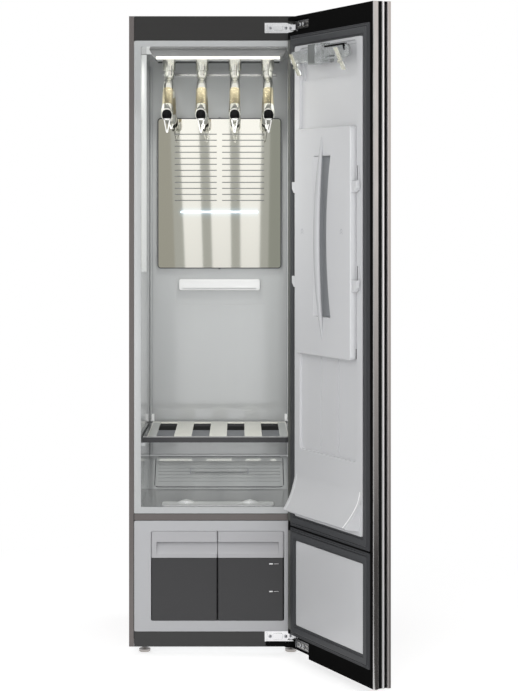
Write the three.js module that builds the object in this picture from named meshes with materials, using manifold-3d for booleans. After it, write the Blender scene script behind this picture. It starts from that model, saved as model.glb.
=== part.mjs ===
// A clothes care steam cabinet with its door open: a tall cabinet with four air hangers, an air mirror, a shelf
// and two water tanks, and a door that carries a trouser press and a trouser hanger.
// Millimetres, X to the right, Y to the back, Z up. The origin is the middle of the cabinet's underside,
// and the feet reach below it. The door's pieces are drawn in the door's own frame: X from the hinge edge to
// the free edge, Y from the inner face outwards, and a group turns them to the open door's place.
import * as THREE from "three";
import { mergeVertices } from "three/addons/utils/BufferGeometryUtils.js";
import Module from "manifold-3d";

const wasm = await Module();
wasm.setup();

// Driving sizes
const fit = 0.3; // air between two pieces that seat on each other
const overrun = 6; // how far a cutter runs past what it cuts
const cabinet = { width: 520, depth: 540, height: 1850, skin: 1, frontReturn: 15, backReturn: 22 };
// Heights of the front's bands. The cavity's mouth fills what they leave of the cabinet's height.
const band = { plinth: 44, tankFront: 326, divider: 20, lowerFlange: 20, upperFlange: 17, fascia: 72 };
const cavity = {
  sideFlange: 20, flangeThickness: 4, wall: 3, backGap: 40, backDraft: 3, cornerRadius: 5,
  lipDepth: 12, lipHeight: 3, slopeRun: 112, slopeHeight: 90, ledgeDepth: 8,
};
const shelfRib = { reach: 8, height: 10, frontGap: 22, backGap: 18 };
const backRecess = { sideInset: 54, bottomBelowMirror: 117, topBelowMirror: 6, depth: 1.5 };
const foam = { deckThickness: 2 };
const lid = { thickness: 1, flange: 12 };
const fascia = { depth: 30, wall: 3 };
const rearPanel = { thickness: 1, slotSideGap: 82.2, slotHeight: 6, slotPitch: 22, slotRows: 9, slotInset: 26, slotBase: 90 };
const gland = { radius: 13, bore: 5, height: 6, inset: 40, rise: 60, boreDepth: 5 };
const divider = { depth: 20 };
const plinth = { depth: 26, wall: 3 };
const basePan = { rise: 2, floor: 1.5, rim: 12, wall: 1.5, padInset: 90 };
const foot = { radius: 17, padHeight: 8, chamfer: 2, studRadius: 5, drop: 24, nutRadius: 9, nutHeight: 5, sideInset: 44, endInset: 45 };
const bay = { wall: 3, flange: 4, clearance: 0.6, sideInset: 49.5, bottomRise: 32, topDrop: 31, depthShare: 0.4074 };
const tank = {
  middleGap: 1.2, backGap: 15, wall: 2.5, capHeight: 77.5, gripInset: 16.5, gripDepth: 26, gripTopDrop: 31, gripHeight: 35,
  gripSlant: 10, cornerRadius: 5, fillerRadius: 20, fillerBack: 40, fillerRim: 3, fillerLip: 4, capFloor: 2.5, capWall: 2.5,
  capFoot: 40,
};
const hood = { sideGap: 20, taper: 14, drop: 21, corner: 7, frontDepth: 95, backDepth: 310 };
const lamp = { endInset: 6, drop: 8, depth: 17, edge: 3 };
const hangers = { count: 4, sideGap: 75, depthShare: 0.43 };
const socket = { radius: 20, length: 36, foot: 1.5, wall: 5.4 };
const hanger = {
  collarRadius: 17.5, collarHeight: 11, spigotLength: 30, neckRadius: 15.5, neckHeight: 24, frontGap: 43, shoulderDrop: 96,
  armHalfWidth: 15.5, armHalfHeight: 14, tipRadius: 19, outletRadius: 12, outletDepth: 15, outletTilt: 35,
  wingWidth: 24, wingFoot: 6, wingHeight: 44, wingDepth: 8, wingHoleWidth: 11, wingHoleTop: 12, wingHoleHeight: 26,
};
const backRail = { sideGap: 41, height: 10, thickness: 7, dropFromCeiling: 45, notch: 4, edge: 2 };
const mirror = {
  sideGap: 26, height: 477, dropFromCeiling: 189, thickness: 12, cornerRadius: 9, slitSideInset: 53.4, slitHeight: 3,
  slitPitch: 19.2, slitRows: 12, slitFromMiddle: 8.6, slitFromTop: 50, glowDrop: 298, glowHeight: 6, glowSideInset: 73,
};
const vent = { sideInset: 67.4, height: 35, belowMirror: 35.6, thickness: 14, cornerRadius: 6, stepHeight: 9, stepDepth: 4, mouth: 3, mouthInset: 12 };
const steamBar = { sideGap: 60, frontDepth: 18, backDepth: 92, height: 4.5, cornerRadius: 12, humpFromEnd: 70, humpHalf: 23, humpHeight: 8, humpDepth: 16, nozzleRadius: 3 };
const shelf = {
  sideGap: 1.5, frontGap: 25, backGap: 18, frameBottomAboveFloor: 186, frameHeight: 15, frontBarExtra: 2, frontBarDepth: 12,
  sideBar: 10, rearBar: 42, ledge: 7, plateThickness: 2.6, plateDrop: 6.5, rib: 51.75, slotCount: 4, slotFrontGap: 20,
};
const filter = { sideGap: 21, endInset: 9.34, thickness: 14, proud: 1.5, panWall: 3, slots: 7, slotWidth: 3, slotPitch: 14, gripSideInset: 113, gripWidth: 11, gripHeight: 7, gripGap: 3, rim: 9 };
const hingePlate = { width: 84, height: 30, thickness: 3, fromSide: 38, armWidth: 12, armHeight: 16, knuckleRadius: 8, screwRadius: 4.5, screwHeight: 1.5, screwInset: 16, topDrop: 20, bottomRise: 16 };
const hinge = { fromEdge: 15.2, fromInnerFace: 32.1, pinRadius: 4, leafThickness: 3, leafReach: 130, leafGap: 1, pocketWidth: 52, pocketDepth: 41, pocketHeight: 34, leafPocketDepth: 5, openAngle: 115.3, webWidth: 4 };
const door = {
  sideInset: 4, topInset: 8, gap: 8, coreThickness: 40.7, edgeInset: 7, edgeTrimDepth: 20, grooveDepth: 9,
  gripBarDepth: 6, outerThickness: 10, outerCorner: 3, outerSkin: 1, bottomNotch: 12, wall: 6,
};
const gasket = { border: 22, width: 33, proud: 7.2, seat: 3, lip: 5 };
const liner = {
  belowMouth: 10, topDrop: 89, proud: 6, seat: 9, cornerRadius: 8, recessSide: 30, recessDepth: 8, recessRise: 198, recessTopDrop: 8,
  recessRadius: 14, grooveWidth: 5, grooveDepth: 2.5, grooveFromMiddle: 52, nicheSide: 12, nicheDepth: 5, nicheHeight: 95,
  scoopProud: 52, scoopHeight: 120, scoopLip: 4, scoopRise: 24, scoopInset: 19, scoopSideInset: 2, slotHeight: 40, slotWidth: 4, slotDepth: 4, slotFoot: 6,
};
const lowerLiner = { abovePlinth: 39, belowDivider: 42, proud: 2, seat: 9, cornerRadius: 6 };
const press = {
  sideGap: 5.7, rise: 275, topDrop: 241, thickness: 17, cornerRadius: 14, recessHalf: 43, recessRise: 113, recessDrop: 82,
  recessDepth: 13, recessRadius: 10, bowRise: 48, bowDrop: 20, bowHeight: 28, bowHalfWidth: 13, bowThickness: 9,
  tabLength: 28, tabHeight: 32, tabTaper: 12, tabThickness: 10, tabClear: 3, tabShares: [0.293, 0.715],
};
const hook = { halfWidth: 17, drop: 59, height: 38, reach: 15, plate: 4, lip: 8, lipThickness: 4 };
const trouser = {
  sideGap: 82, drop: 55, barHeight: 35, barThickness: 6, barProud: 27, cornerRadius: 16, blockHalf: 28, blockDrop: 63,
  blockHeight: 56, blockDepth: 25, blockWall: 4, clipFromEnd: 40, clipWidth: 16, pivotRise: 22.7, jawHeight: 60, jawThickness: 3.5,
  jawTilt: 24, jawDrop: 34, jawSpread: 12, pivotRadius: 2, lugRadius: 4, earThickness: 2.5, gripGap: 0.6, windowGap: 8, windowHeight: 5, windowHalf: 30,
};
const compressor = { radius: 62, height: 165, dome: 22, flangeRadius: 76, flange: 6, fromSide: 130, fromRear: 120 };
const exchanger = { width: 170, depth: 120, height: 210, fins: 14, finShare: 0.45, spine: 12, fromSide: 65, fromRear: 40 };
const steamer = { radius: 34, length: 150, fromSide: 130, behindBay: 28, saddle: 12, saddleDepth: 40, neckRadius: 8, neckHeight: 14, endRadius: 20 };
const blower = {
  fromSide: 145, drop: 74, fromRear: 98, depth: 76, radius: 80, wall: 4, inletRadius: 40, wheelRadius: 66, wheelDepth: 56, blades: 20, bladeDepth: 12,
  bladeThickness: 1.6, ring: 3, hubRadius: 16, shaftRadius: 5, outletWidth: 70,
};
const board = { sideGap: 130, depth: 170, height: 38, cornerRadius: 6, setback: 90, ribs: 5, ribHeight: 4, ribWidth: 5 };

// Places that follow from the sizes
const front = -cabinet.depth / 2;
const rear = cabinet.depth / 2;
const side = cabinet.width / 2;
const innerSide = side - cabinet.frontReturn;
const skinInside = side - cabinet.skin - fit;
const rearInside = rear - cabinet.skin - fit;
const dividerBottom = band.plinth + band.tankFront;
const flangeBottom = dividerBottom + band.divider;
const mouthBottom = flangeBottom + band.lowerFlange;
const flangeTop = cabinet.height - band.fascia;
const ceiling = flangeTop - band.upperFlange;
const floor = mouthBottom - cavity.lipHeight;
const mouthHalf = innerSide - cavity.sideFlange;
const backHalf = mouthHalf - cavity.backDraft;
const backWall = rear - cavity.backGap;
const slopeTop = backWall - cavity.ledgeDepth;
const slopeFoot = slopeTop - cavity.slopeRun;
const ledge = mouthBottom - cavity.lipHeight + cavity.slopeHeight;
const slopeAngle = Math.atan2(ledge - floor, slopeTop - slopeFoot);
const slopeLength = Math.hypot(ledge - floor, slopeTop - slopeFoot);
const mirrorTop = ceiling - mirror.dropFromCeiling;
const mirrorBottom = mirrorTop - mirror.height;
const panelBack = backWall - fit;
const mirrorHalf = backHalf - mirror.sideGap;
const ventHalf = mirrorHalf - vent.sideInset;
const shelfBottom = mouthBottom + shelf.frameBottomAboveFloor;
const hangerY = front + (backWall - front) * hangers.depthShare;
const hangerPitch = (2 * (mouthHalf - hangers.sideGap)) / (hangers.count - 1);
const hangerHalfSpan = hangerY - front - hanger.frontGap;
const hoodHalf = mouthHalf - hood.sideGap;
const filterHalf = backHalf - filter.sideGap;
const hoodBottom = ceiling - hood.drop;
const socketTop = hoodBottom - fit;
const socketBottom = socketTop - socket.length;
const collarTop = socketBottom - fit;
const crown = collarTop - hanger.collarHeight - hanger.neckHeight;
const bayBottom = band.plinth + bay.bottomRise;
const bayTop = dividerBottom - bay.topDrop;
const bayHalf = innerSide - bay.sideInset;
const bayBack = front + cabinet.depth * bay.depthShare;
const pivot = {
  x: side - door.sideInset - hinge.fromEdge,
  y: front - door.gap - hinge.fromInnerFace,
};
const doorWidth = cabinet.width - 2 * door.sideInset;
const doorHeight = cabinet.height - door.topInset;
const doorMiddle = doorWidth / 2;
const linerBottom = mouthBottom - liner.belowMouth;
const linerTop = doorHeight - liner.topDrop;
const recessBottom = linerBottom + liner.recessRise;
const scoopTop = linerBottom + liner.scoopHeight;
const scoopBottom = linerBottom + liner.scoopRise;
const lowerLinerBottom = band.plinth + lowerLiner.abovePlinth;
const lowerLinerTop = dividerBottom - lowerLiner.belowDivider;
const linerEdge = gasket.border + gasket.width + fit;
const pressHalf = doorMiddle - linerEdge - liner.recessSide - press.sideGap;
const pressBottom = recessBottom + press.rise;
const pressTop = linerTop - press.topDrop;
const tabHeights = press.tabShares.map((share) => pressBottom + share * (pressTop - pressBottom));
const rightAngle = Math.PI / 2;

// Solids from three.js geometry
const mergeDistance = 1e-4;

function solidOf(geometry) {
  const bare = new THREE.BufferGeometry().setAttribute("position", geometry.getAttribute("position"));
  if (geometry.index) bare.setIndex(geometry.index);
  const merged = mergeVertices(bare, mergeDistance);
  const corners = [];
  const index = merged.index.array;
  for (let i = 0; i < index.length; i += 3) {
    const [a, b, c] = [index[i], index[i + 1], index[i + 2]];
    if (a !== b && b !== c && c !== a) corners.push(a, b, c);
  }
  const build = (triVerts) =>
    new wasm.Manifold(
      new wasm.Mesh({ numProp: 3, vertProperties: merged.attributes.position.array, triVerts: new Uint32Array(triVerts) }),
    );
  const made = build(corners);
  return made.volume() < 0 ? build(corners.reverse()) : made;
}

function geometryOf(solid) {
  const mesh = solid.getMesh();
  return new THREE.BufferGeometry()
    .setAttribute("position", new THREE.BufferAttribute(mesh.vertProperties, mesh.numProp))
    .setIndex(new THREE.BufferAttribute(mesh.triVerts, 1));
}

function addPiece(group, name, solid, colour, roughness, metalness) {
  const geometry = geometryOf(solid);
  geometry.computeVertexNormals();
  const mesh = new THREE.Mesh(geometry, new THREE.MeshStandardMaterial({ color: colour, roughness, metalness }));
  mesh.name = name;
  group.add(mesh);
  return mesh;
}

const joined = (pieces) => pieces.reduce((whole, piece) => whole.add(piece));
const without = (whole, pieces) => pieces.reduce((left, piece) => left.subtract(piece), whole);

function block([x0, x1], [y0, y1], [z0, z1]) {
  const box = new THREE.BoxGeometry(x1 - x0, y1 - y0, z1 - z0);
  box.translate((x0 + x1) / 2, (y0 + y1) / 2, (z0 + z1) / 2);
  return solidOf(box);
}

// Turns an extrusion along Z so that it runs along an axis, with its outline in the other two.
const extrudeFrames = {
  x: new THREE.Matrix4().makeBasis(new THREE.Vector3(0, 1, 0), new THREE.Vector3(0, 0, 1), new THREE.Vector3(1, 0, 0)),
  y: new THREE.Matrix4().makeBasis(new THREE.Vector3(1, 0, 0), new THREE.Vector3(0, 0, 1), new THREE.Vector3(0, -1, 0)),
  z: new THREE.Matrix4(),
};

// An outline is in (Y, Z) for axis x, in (X, Z) for axis y and in (X, Y) for axis z.
function extruded(shape, axis, [from, to], arcSteps = 5) {
  const geometry = new THREE.ExtrudeGeometry(shape, { depth: to - from, bevelEnabled: false, curveSegments: arcSteps });
  geometry.applyMatrix4(extrudeFrames[axis]);
  if (axis === "x") geometry.translate(from, 0, 0);
  if (axis === "y") geometry.translate(0, to, 0);
  if (axis === "z") geometry.translate(0, 0, from);
  return solidOf(geometry);
}

const outline = (points) => new THREE.Shape(points.map(([a, b]) => new THREE.Vector2(a, b)));

function roundedRectangle([a0, a1], [b0, b1], radius) {
  const shape = new THREE.Shape();
  shape.absarc(a1 - radius, b0 + radius, radius, -rightAngle, 0);
  shape.absarc(a1 - radius, b1 - radius, radius, 0, rightAngle);
  shape.absarc(a0 + radius, b1 - radius, radius, rightAngle, 2 * rightAngle);
  shape.absarc(a0 + radius, b0 + radius, radius, 2 * rightAngle, 3 * rightAngle);
  shape.closePath();
  return shape;
}

// A solid of revolution about a line along Z through (x, y), from points of [radius, height].
function turned(profile, [x, y], steps = 18) {
  const geometry = new THREE.LatheGeometry(profile.map(([r, z]) => new THREE.Vector2(r, z)), steps);
  geometry.rotateX(rightAngle);
  geometry.translate(x, y, 0);
  return solidOf(geometry);
}

const rod = (radius, place, [z0, z1], steps = 16) =>
  turned([[0, z0], [radius, z0], [radius, z1], [0, z1]], place, steps);

// A rod along Y through (x, z).
const rodAlongY = (radius, [x, z], [y0, y1], steps = 20) =>
  extruded(new THREE.Shape().absarc(x, z, radius, 0, 4 * rightAngle), "y", [y0, y1], steps);

// A rod along X through (y, z).
const rodAlongX = (radius, [y, z], [x0, x1], steps = 20) =>
  extruded(new THREE.Shape().absarc(y, z, radius, 0, 4 * rightAngle), "x", [x0, x1], steps);

const mirrored = (solid) => solid.mirror([1, 0, 0]);

const steel = [0x5a5654, 0.35, 0.8];
const darkPlastic = [0x38393b, 0.5, 0.1];
const palePlastic = [0xc6c8ca, 0.4, 0];
const whitePlastic = [0xe8e9ea, 0.35, 0];
const zinc = [0xb8bcc0, 0.3, 0.9];
const chrome = [0xd8d9da, 0.15, 1];

const root = new THREE.Group();

// Outer case
function addCase() {
  const wall = outline([
    [innerSide + fit, front], [side, front], [side, rear], [side - cabinet.backReturn, rear],
    [side - cabinet.backReturn, rear - cabinet.skin], [side - cabinet.skin, rear - cabinet.skin],
    [side - cabinet.skin, front + cabinet.skin], [innerSide + fit, front + cabinet.skin],
  ]);
  const rightWall = extruded(wall, "z", [0, cabinet.height]);
  addPiece(root, "side_panel_right", rightWall, ...steel);
  addPiece(root, "side_panel_left", mirrored(rightWall), ...steel);

  const lidProfile = outline([
    [-skinInside, cabinet.height], [-skinInside, cabinet.height - lid.flange],
    [-skinInside + lid.thickness, cabinet.height - lid.flange],
    [-skinInside + lid.thickness, cabinet.height - lid.thickness],
    [skinInside - lid.thickness, cabinet.height - lid.thickness],
    [skinInside - lid.thickness, cabinet.height - lid.flange],
    [skinInside, cabinet.height - lid.flange], [skinInside, cabinet.height],
  ]);
  addPiece(root, "top_cover", extruded(lidProfile, "y",
    [front + fascia.depth + fit, rearInside - rearPanel.thickness - fit]), ...darkPlastic);

  const slots = [];
  for (let row = 0; row < rearPanel.slotRows; row += 1) {
    const z = rearPanel.slotBase + row * rearPanel.slotPitch;
    for (const sign of [-1, 1]) {
      const slotLength = skinInside - rearPanel.slotSideGap - rearPanel.slotInset;
      const middle = sign * (rearPanel.slotInset + slotLength / 2);
      slots.push(block(
        [middle - slotLength / 2, middle + slotLength / 2],
        [rearInside - overrun, rearInside + overrun],
        [z, z + rearPanel.slotHeight],
      ));
    }
  }
  const sheetFront = rearInside - rearPanel.thickness;
  const sheet = block([-skinInside, skinInside], [sheetFront, rearInside],
    [basePan.rise + basePan.floor + fit, cabinet.height]);
  const glandAt = [skinInside - gland.inset, gland.rise];
  const boss = rodAlongY(gland.radius, glandAt, [sheetFront, rearInside + gland.height]);
  const glandBore = rodAlongY(gland.bore, glandAt, [rearInside + gland.height - gland.boreDepth, rear + overrun * 2]);
  addPiece(root, "rear_panel", without(sheet, slots).add(boss).subtract(glandBore), ...zinc);
}

// Front bands
function addFascia() {
  const width = [-innerSide, innerSide];
  const profile = outline([
    [front, flangeTop + fit], [front + fascia.depth, flangeTop + fit],
    [front + fascia.depth, flangeTop + fit + fascia.wall], [front + fascia.wall, flangeTop + fit + fascia.wall],
    [front + fascia.wall, cabinet.height - fascia.wall], [front + fascia.depth, cabinet.height - fascia.wall],
    [front + fascia.depth, cabinet.height], [front, cabinet.height],
  ]);
  addPiece(root, "top_fascia", extruded(profile, "x", width), ...darkPlastic);

  // The bar between the compartments carries the deck that the insulation and the cavity stand on.
  const bar = block(width, [front, front + divider.depth], [dividerBottom + fit, flangeBottom - fit]);
  const deckTop = flangeBottom - fit;
  const deck = block([-skinInside, skinInside],
    [front + cabinet.skin + fit, rearInside - rearPanel.thickness - fit], [deckTop - foam.deckThickness, deckTop])
    .intersect(block([-skinInside, skinInside], [front + divider.depth - foam.deckThickness, rear], [dividerBottom, flangeBottom]));
  addPiece(root, "divider_deck", bar.add(deck), ...steel);

  const kick = outline([
    [front, 0], [front + plinth.depth, 0], [front + plinth.depth, plinth.wall], [front + plinth.wall, plinth.wall],
    [front + plinth.wall, band.plinth - plinth.wall], [front + plinth.depth, band.plinth - plinth.wall],
    [front + plinth.depth, band.plinth - fit], [front, band.plinth - fit],
  ]);
  addPiece(root, "plinth", extruded(kick, "x", width), ...darkPlastic);
}

// The cavity's walls in plan, and its floor, slope and ceiling from the side, both grown by an offset.
function cavitySpace(grow, mouthY) {
  const plan = outline([
    [-mouthHalf - grow, mouthY], [mouthHalf + grow, mouthY],
    [backHalf + grow, backWall + grow], [-backHalf - grow, backWall + grow],
  ]);
  const lipEnd = front + cavity.lipDepth;
  const slopeGrow = grow / Math.cos(slopeAngle);
  const profile = outline([
    [mouthY, mouthBottom - grow], [lipEnd, mouthBottom - grow], [lipEnd + cavity.lipHeight, floor - grow],
    [slopeFoot + grow, floor - grow], [slopeTop + grow, ledge - slopeGrow], [backWall + grow, ledge - slopeGrow],
    [backWall + grow, ceiling + grow], [mouthY, ceiling + grow],
  ]);
  return extruded(plan, "z", [floor - grow, ceiling + grow])
    .intersect(extruded(profile, "x", [-mouthHalf - grow, mouthHalf + grow]));
}

// A block on the rear slope: along it from its foot, and outwards from its face.
function slopeBlock(halfWidth, [s0, s1], [n0, n1]) {
  const box = new THREE.BoxGeometry(2 * halfWidth, s1 - s0, n1 - n0);
  box.translate(0, (s0 + s1) / 2, (n0 + n1) / 2);
  box.rotateX(slopeAngle);
  box.translate(0, slopeFoot, floor);
  return solidOf(box);
}

const filterStart = filter.endInset;
const filterEnd = slopeLength - filter.endInset;
const filterSeat = filter.proud - filter.thickness - fit;

const filterPan = (grow) =>
  slopeBlock(filterHalf + fit + grow, [filterStart - fit - grow, filterEnd + fit + grow], [filterSeat - grow, 0]);

function addCavity() {
  const flange = extruded(
    roundedRectangle([-innerSide, innerSide], [flangeBottom, flangeTop], cavity.cornerRadius),
    "y", [front, front + cavity.flangeThickness],
  );
  const shell = cavitySpace(cavity.wall, front).add(flange).add(filterPan(filter.panWall));
  const pan = slopeBlock(filterHalf + fit, [filterStart - fit, filterEnd + fit], [filterSeat, overrun]);
  const recess = block(
    [backRecess.sideInset - mirrorHalf, mirrorHalf - backRecess.sideInset], [backWall - overrun, backWall + backRecess.depth],
    [mirrorBottom - backRecess.bottomBelowMirror, mirrorBottom - backRecess.topBelowMirror],
  );
  const ribBox = (sign) => {
    const inner = backHalf - shelfRib.reach;
    const xs = sign > 0 ? [inner, mouthHalf + cavity.wall / 2] : [-mouthHalf - cavity.wall / 2, -inner];
    return block(xs, [front + shelfRib.frontGap, backWall - shelfRib.backGap],
      [shelfBottom - fit - shelfRib.height, shelfBottom - fit]);
  };
  const tub = shell.subtract(cavitySpace(0, front - overrun)).subtract(pan).subtract(recess);
  const ribs = ribBox(1).add(ribBox(-1)).intersect(cavitySpace(cavity.wall / 2, front));
  addPiece(root, "cavity_liner", tub.add(ribs), ...palePlastic);

  const packing = block([-skinInside, skinInside],
    [front + cavity.flangeThickness + fit, rearInside - rearPanel.thickness - fit], [flangeBottom + fit, flangeTop - fit]);
  addPiece(root, "insulation", without(packing, [
    cavitySpace(cavity.wall + fit, front - overrun), filterPan(filter.panWall + fit),
    slopeBlock(filterHalf, [filterStart, filterEnd], [-fit, overrun]),
  ]), 0xd9d4c4, 0.9, 0);
}

// Cavity fittings
function addHood() {
  const bottomHalf = hoodHalf - hood.taper;
  const profile = outline([
    [-hoodHalf, ceiling - fit], [-bottomHalf - hood.corner, hoodBottom + hood.corner],
    [-bottomHalf, hoodBottom], [bottomHalf, hoodBottom],
    [bottomHalf + hood.corner, hoodBottom + hood.corner], [hoodHalf, ceiling - fit],
  ]);
  addPiece(root, "air_hood", extruded(profile, "y", [front + hood.frontDepth, front + hood.backDepth]), ...palePlastic);

  const y0 = front + hood.frontDepth;
  const top = hoodBottom - fit;
  const bar = outline([
    [y0, top], [y0, top - lamp.drop + lamp.edge], [y0 + lamp.edge, top - lamp.drop],
    [y0 + lamp.depth - lamp.edge, top - lamp.drop], [y0 + lamp.depth, top - lamp.drop + lamp.edge], [y0 + lamp.depth, top],
  ]);
  addPiece(root, "light_bar", extruded(bar, "x", [lamp.endInset - bottomHalf, bottomHalf - lamp.endInset]), 0xfbfbf4, 0.2, 0);
}

const hangerX = (number) => (number - (hangers.count - 1) / 2) * hangerPitch;

function addSocket(number) {
  const bore = socket.radius - socket.wall;
  const cup = turned([
    [bore, socketBottom], [socket.radius - socket.foot, socketBottom], [socket.radius, socketBottom + socket.foot],
    [socket.radius, socketTop], [bore, socketTop], [bore, socketBottom],
  ], [hangerX(number), hangerY]);
  addPiece(root, `hanger_socket_${number + 1}`, cup, ...chrome);
}

// A hanger points to the back and to the front: two hollow arms that fall from a neck to blunt tips with an air
// outlet, and an open wing under each tip.
function addHanger(number) {
  const at = [hangerX(number), hangerY];
  const spigot = socket.radius - socket.wall - fit;
  const collarFoot = collarTop - hanger.collarHeight;
  const neck = turned([
    [0, crown], [hanger.neckRadius, crown], [hanger.neckRadius, collarFoot], [hanger.collarRadius, collarFoot],
    [hanger.collarRadius, collarTop], [spigot, collarTop], [spigot, collarTop + hanger.spigotLength],
    [0, collarTop + hanger.spigotLength],
  ], at, 16);
  const alongShares = [-1, -0.76, -0.38, 0, 0.38, 0.76, 1];
  const fallShares = [1, 0.55, 0.14, 0, 0.14, 0.55, 1];
  const path = new THREE.CatmullRomCurve3(alongShares.map((along, i) => new THREE.Vector3(
    at[0], at[1] + along * hangerHalfSpan, crown - fallShares[i] * hanger.shoulderDrop,
  )));
  // The sweep's frame has its first axis along the hanger's height and its second along its width.
  const section = new THREE.Shape();
  section.absellipse(0, 0, hanger.armHalfHeight, hanger.armHalfWidth, 0, 4 * rightAngle);
  const arms = solidOf(new THREE.ExtrudeGeometry(section, { steps: 14, extrudePath: path, curveSegments: 6 }));
  const tipZ = crown - hanger.shoulderDrop;
  const wing = (y) => {
    const top = tipZ - hanger.tipRadius / 2;
    const bottom = tipZ - hanger.tipRadius - hanger.wingHeight;
    const holeTop = tipZ - hanger.tipRadius - hanger.wingHoleTop;
    const [x] = at;
    const blade = outline([
      [x - hanger.wingWidth / 2, top], [x + hanger.wingWidth / 2, top],
      [x + hanger.wingFoot / 2, bottom], [x - hanger.wingFoot / 2, bottom],
    ]);
    const hole = outline([
      [x - hanger.wingHoleWidth / 2, holeTop], [x + hanger.wingHoleWidth / 2, holeTop],
      [x, holeTop - hanger.wingHoleHeight],
    ]);
    const span = [y - hanger.wingDepth / 2, y + hanger.wingDepth / 2];
    return extruded(blade, "y", span)
      .subtract(extruded(hole, "y", [span[0] - overrun, span[1] + overrun]));
  };
  const tips = [-1, 1].map((sign) => {
    const y = at[1] + sign * hangerHalfSpan;
    const knob = new THREE.SphereGeometry(hanger.tipRadius, 14, 8);
    knob.translate(at[0], y, tipZ);
    return solidOf(knob).add(wing(y));
  });
  const outlets = [-1, 1].map((sign) => {
    const y = at[1] + sign * hangerHalfSpan;
    const bore = new THREE.CylinderGeometry(hanger.outletRadius, hanger.outletRadius, 2 * hanger.outletDepth, 14);
    bore.rotateX(rightAngle);
    bore.translate(0, sign * hanger.tipRadius, 0);
    bore.rotateX(-sign * THREE.MathUtils.degToRad(hanger.outletTilt));
    bore.translate(at[0], y, tipZ);
    return solidOf(bore);
  });
  const whole = without(joined([neck, arms, ...tips]), outlets);
  addPiece(root, `air_hanger_${number + 1}`, whole, 0xcfc8b4, 0.25, 0.7);
}

function addBackWallFittings() {
  const railTop = ceiling - backRail.dropFromCeiling;
  const railBottom = railTop - backRail.height;
  const rail = extruded(outline([
    [panelBack, railBottom], [panelBack, railTop], [panelBack - backRail.thickness + backRail.edge, railTop],
    [panelBack - backRail.thickness, railTop - backRail.edge],
    [panelBack - backRail.thickness, railBottom + backRail.edge],
    [panelBack - backRail.thickness + backRail.edge, railBottom],
  ]), "x", [backRail.sideGap - backHalf, backHalf - backRail.sideGap]);
  const notches = [-1, 0, 1].map((step) => extruded(outline([
    [step * hangerPitch - backRail.notch, railTop + fit], [step * hangerPitch, railTop - backRail.notch],
    [step * hangerPitch + backRail.notch, railTop + fit],
  ]), "y", [panelBack - backRail.thickness - overrun, panelBack + overrun]));
  addPiece(root, "back_rail", without(rail, notches), ...chrome);

  const face = panelBack - mirror.thickness;
  const glass = extruded(
    roundedRectangle([-mirrorHalf, mirrorHalf], [mirrorBottom, mirrorTop], mirror.cornerRadius),
    "y", [face, panelBack], 3,
  );
  const slits = [];
  const slitLength = mirrorHalf - mirror.slitSideInset - mirror.slitFromMiddle;
  for (let row = 0; row < mirror.slitRows; row += 1) {
    const z = mirrorTop - mirror.slitFromTop - row * mirror.slitPitch;
    for (const sign of [-1, 1]) {
      const middle = sign * (mirror.slitFromMiddle + slitLength / 2);
      slits.push(block([middle - slitLength / 2, middle + slitLength / 2],
        [face - overrun, panelBack + overrun], [z - mirror.slitHeight / 2, z + mirror.slitHeight / 2]));
    }
  }
  const glowZ = mirrorTop - mirror.glowDrop;
  const glowHalf = mirrorHalf - mirror.glowSideInset;
  const glow = (grow) => block([-glowHalf - grow, glowHalf + grow],
    [face - (grow ? overrun : 0), panelBack + (grow ? overrun : 0)],
    [glowZ - mirror.glowHeight / 2 - grow, glowZ + mirror.glowHeight / 2 + grow]);
  addPiece(root, "air_mirror", without(glass, [...slits, glow(fit)]), 0xd9d8cc, 0.08, 0.9);
  addPiece(root, "mirror_light", glow(0), 0xeaf4ff, 0.2, 0);

  const ventTop = mirrorBottom - vent.belowMirror;
  const cover = extruded(
    roundedRectangle([-ventHalf, ventHalf], [ventTop - vent.height, ventTop], vent.cornerRadius),
    "y", [panelBack - vent.thickness, panelBack + backRecess.depth], 4,
  );
  const step = block([-ventHalf - overrun, ventHalf + overrun],
    [panelBack - vent.thickness - overrun, panelBack - vent.thickness + vent.stepDepth],
    [ventTop - vent.stepHeight, ventTop + overrun]);
  const mouth = block([-ventHalf + vent.mouthInset, ventHalf - vent.mouthInset],
    [panelBack - vent.thickness - overrun, panelBack - vent.thickness + 2 * vent.stepDepth],
    [ventTop - vent.height + vent.mouth, ventTop - vent.height + 2 * vent.mouth]);
  addPiece(root, "air_vent", without(cover, [step, mouth]), ...whitePlastic);
}

function addSteamBar() {
  const bottom = floor + fit;
  const ys = [front + steamBar.frontDepth, front + steamBar.backDepth];
  const plate = extruded(
    roundedRectangle([steamBar.sideGap - mouthHalf, mouthHalf - steamBar.sideGap], ys, steamBar.cornerRadius),
    "z", [bottom, bottom + steamBar.height],
  );
  const humpFromMiddle = mouthHalf - steamBar.sideGap - steamBar.humpFromEnd;
  const humps = [-1, 1].map((sign) => {
    const x = sign * humpFromMiddle;
    return extruded(outline([
      [x - steamBar.humpHalf, bottom], [x + steamBar.humpHalf, bottom],
      [x, bottom + steamBar.height + steamBar.humpHeight],
    ]), "y", [ys[1] - steamBar.humpDepth - steamBar.nozzleRadius, ys[1] - steamBar.nozzleRadius]);
  });
  const nozzles = [-1, 1].map((sign) => rod(
    steamBar.nozzleRadius, [sign * humpFromMiddle, ys[1] - steamBar.humpDepth / 2 - steamBar.nozzleRadius],
    [bottom + steamBar.height, bottom + steamBar.height + steamBar.humpHeight + overrun], 10,
  ));
  addPiece(root, "steam_bar", without(joined([plate, ...humps]), nozzles), ...whitePlastic);
}

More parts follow.
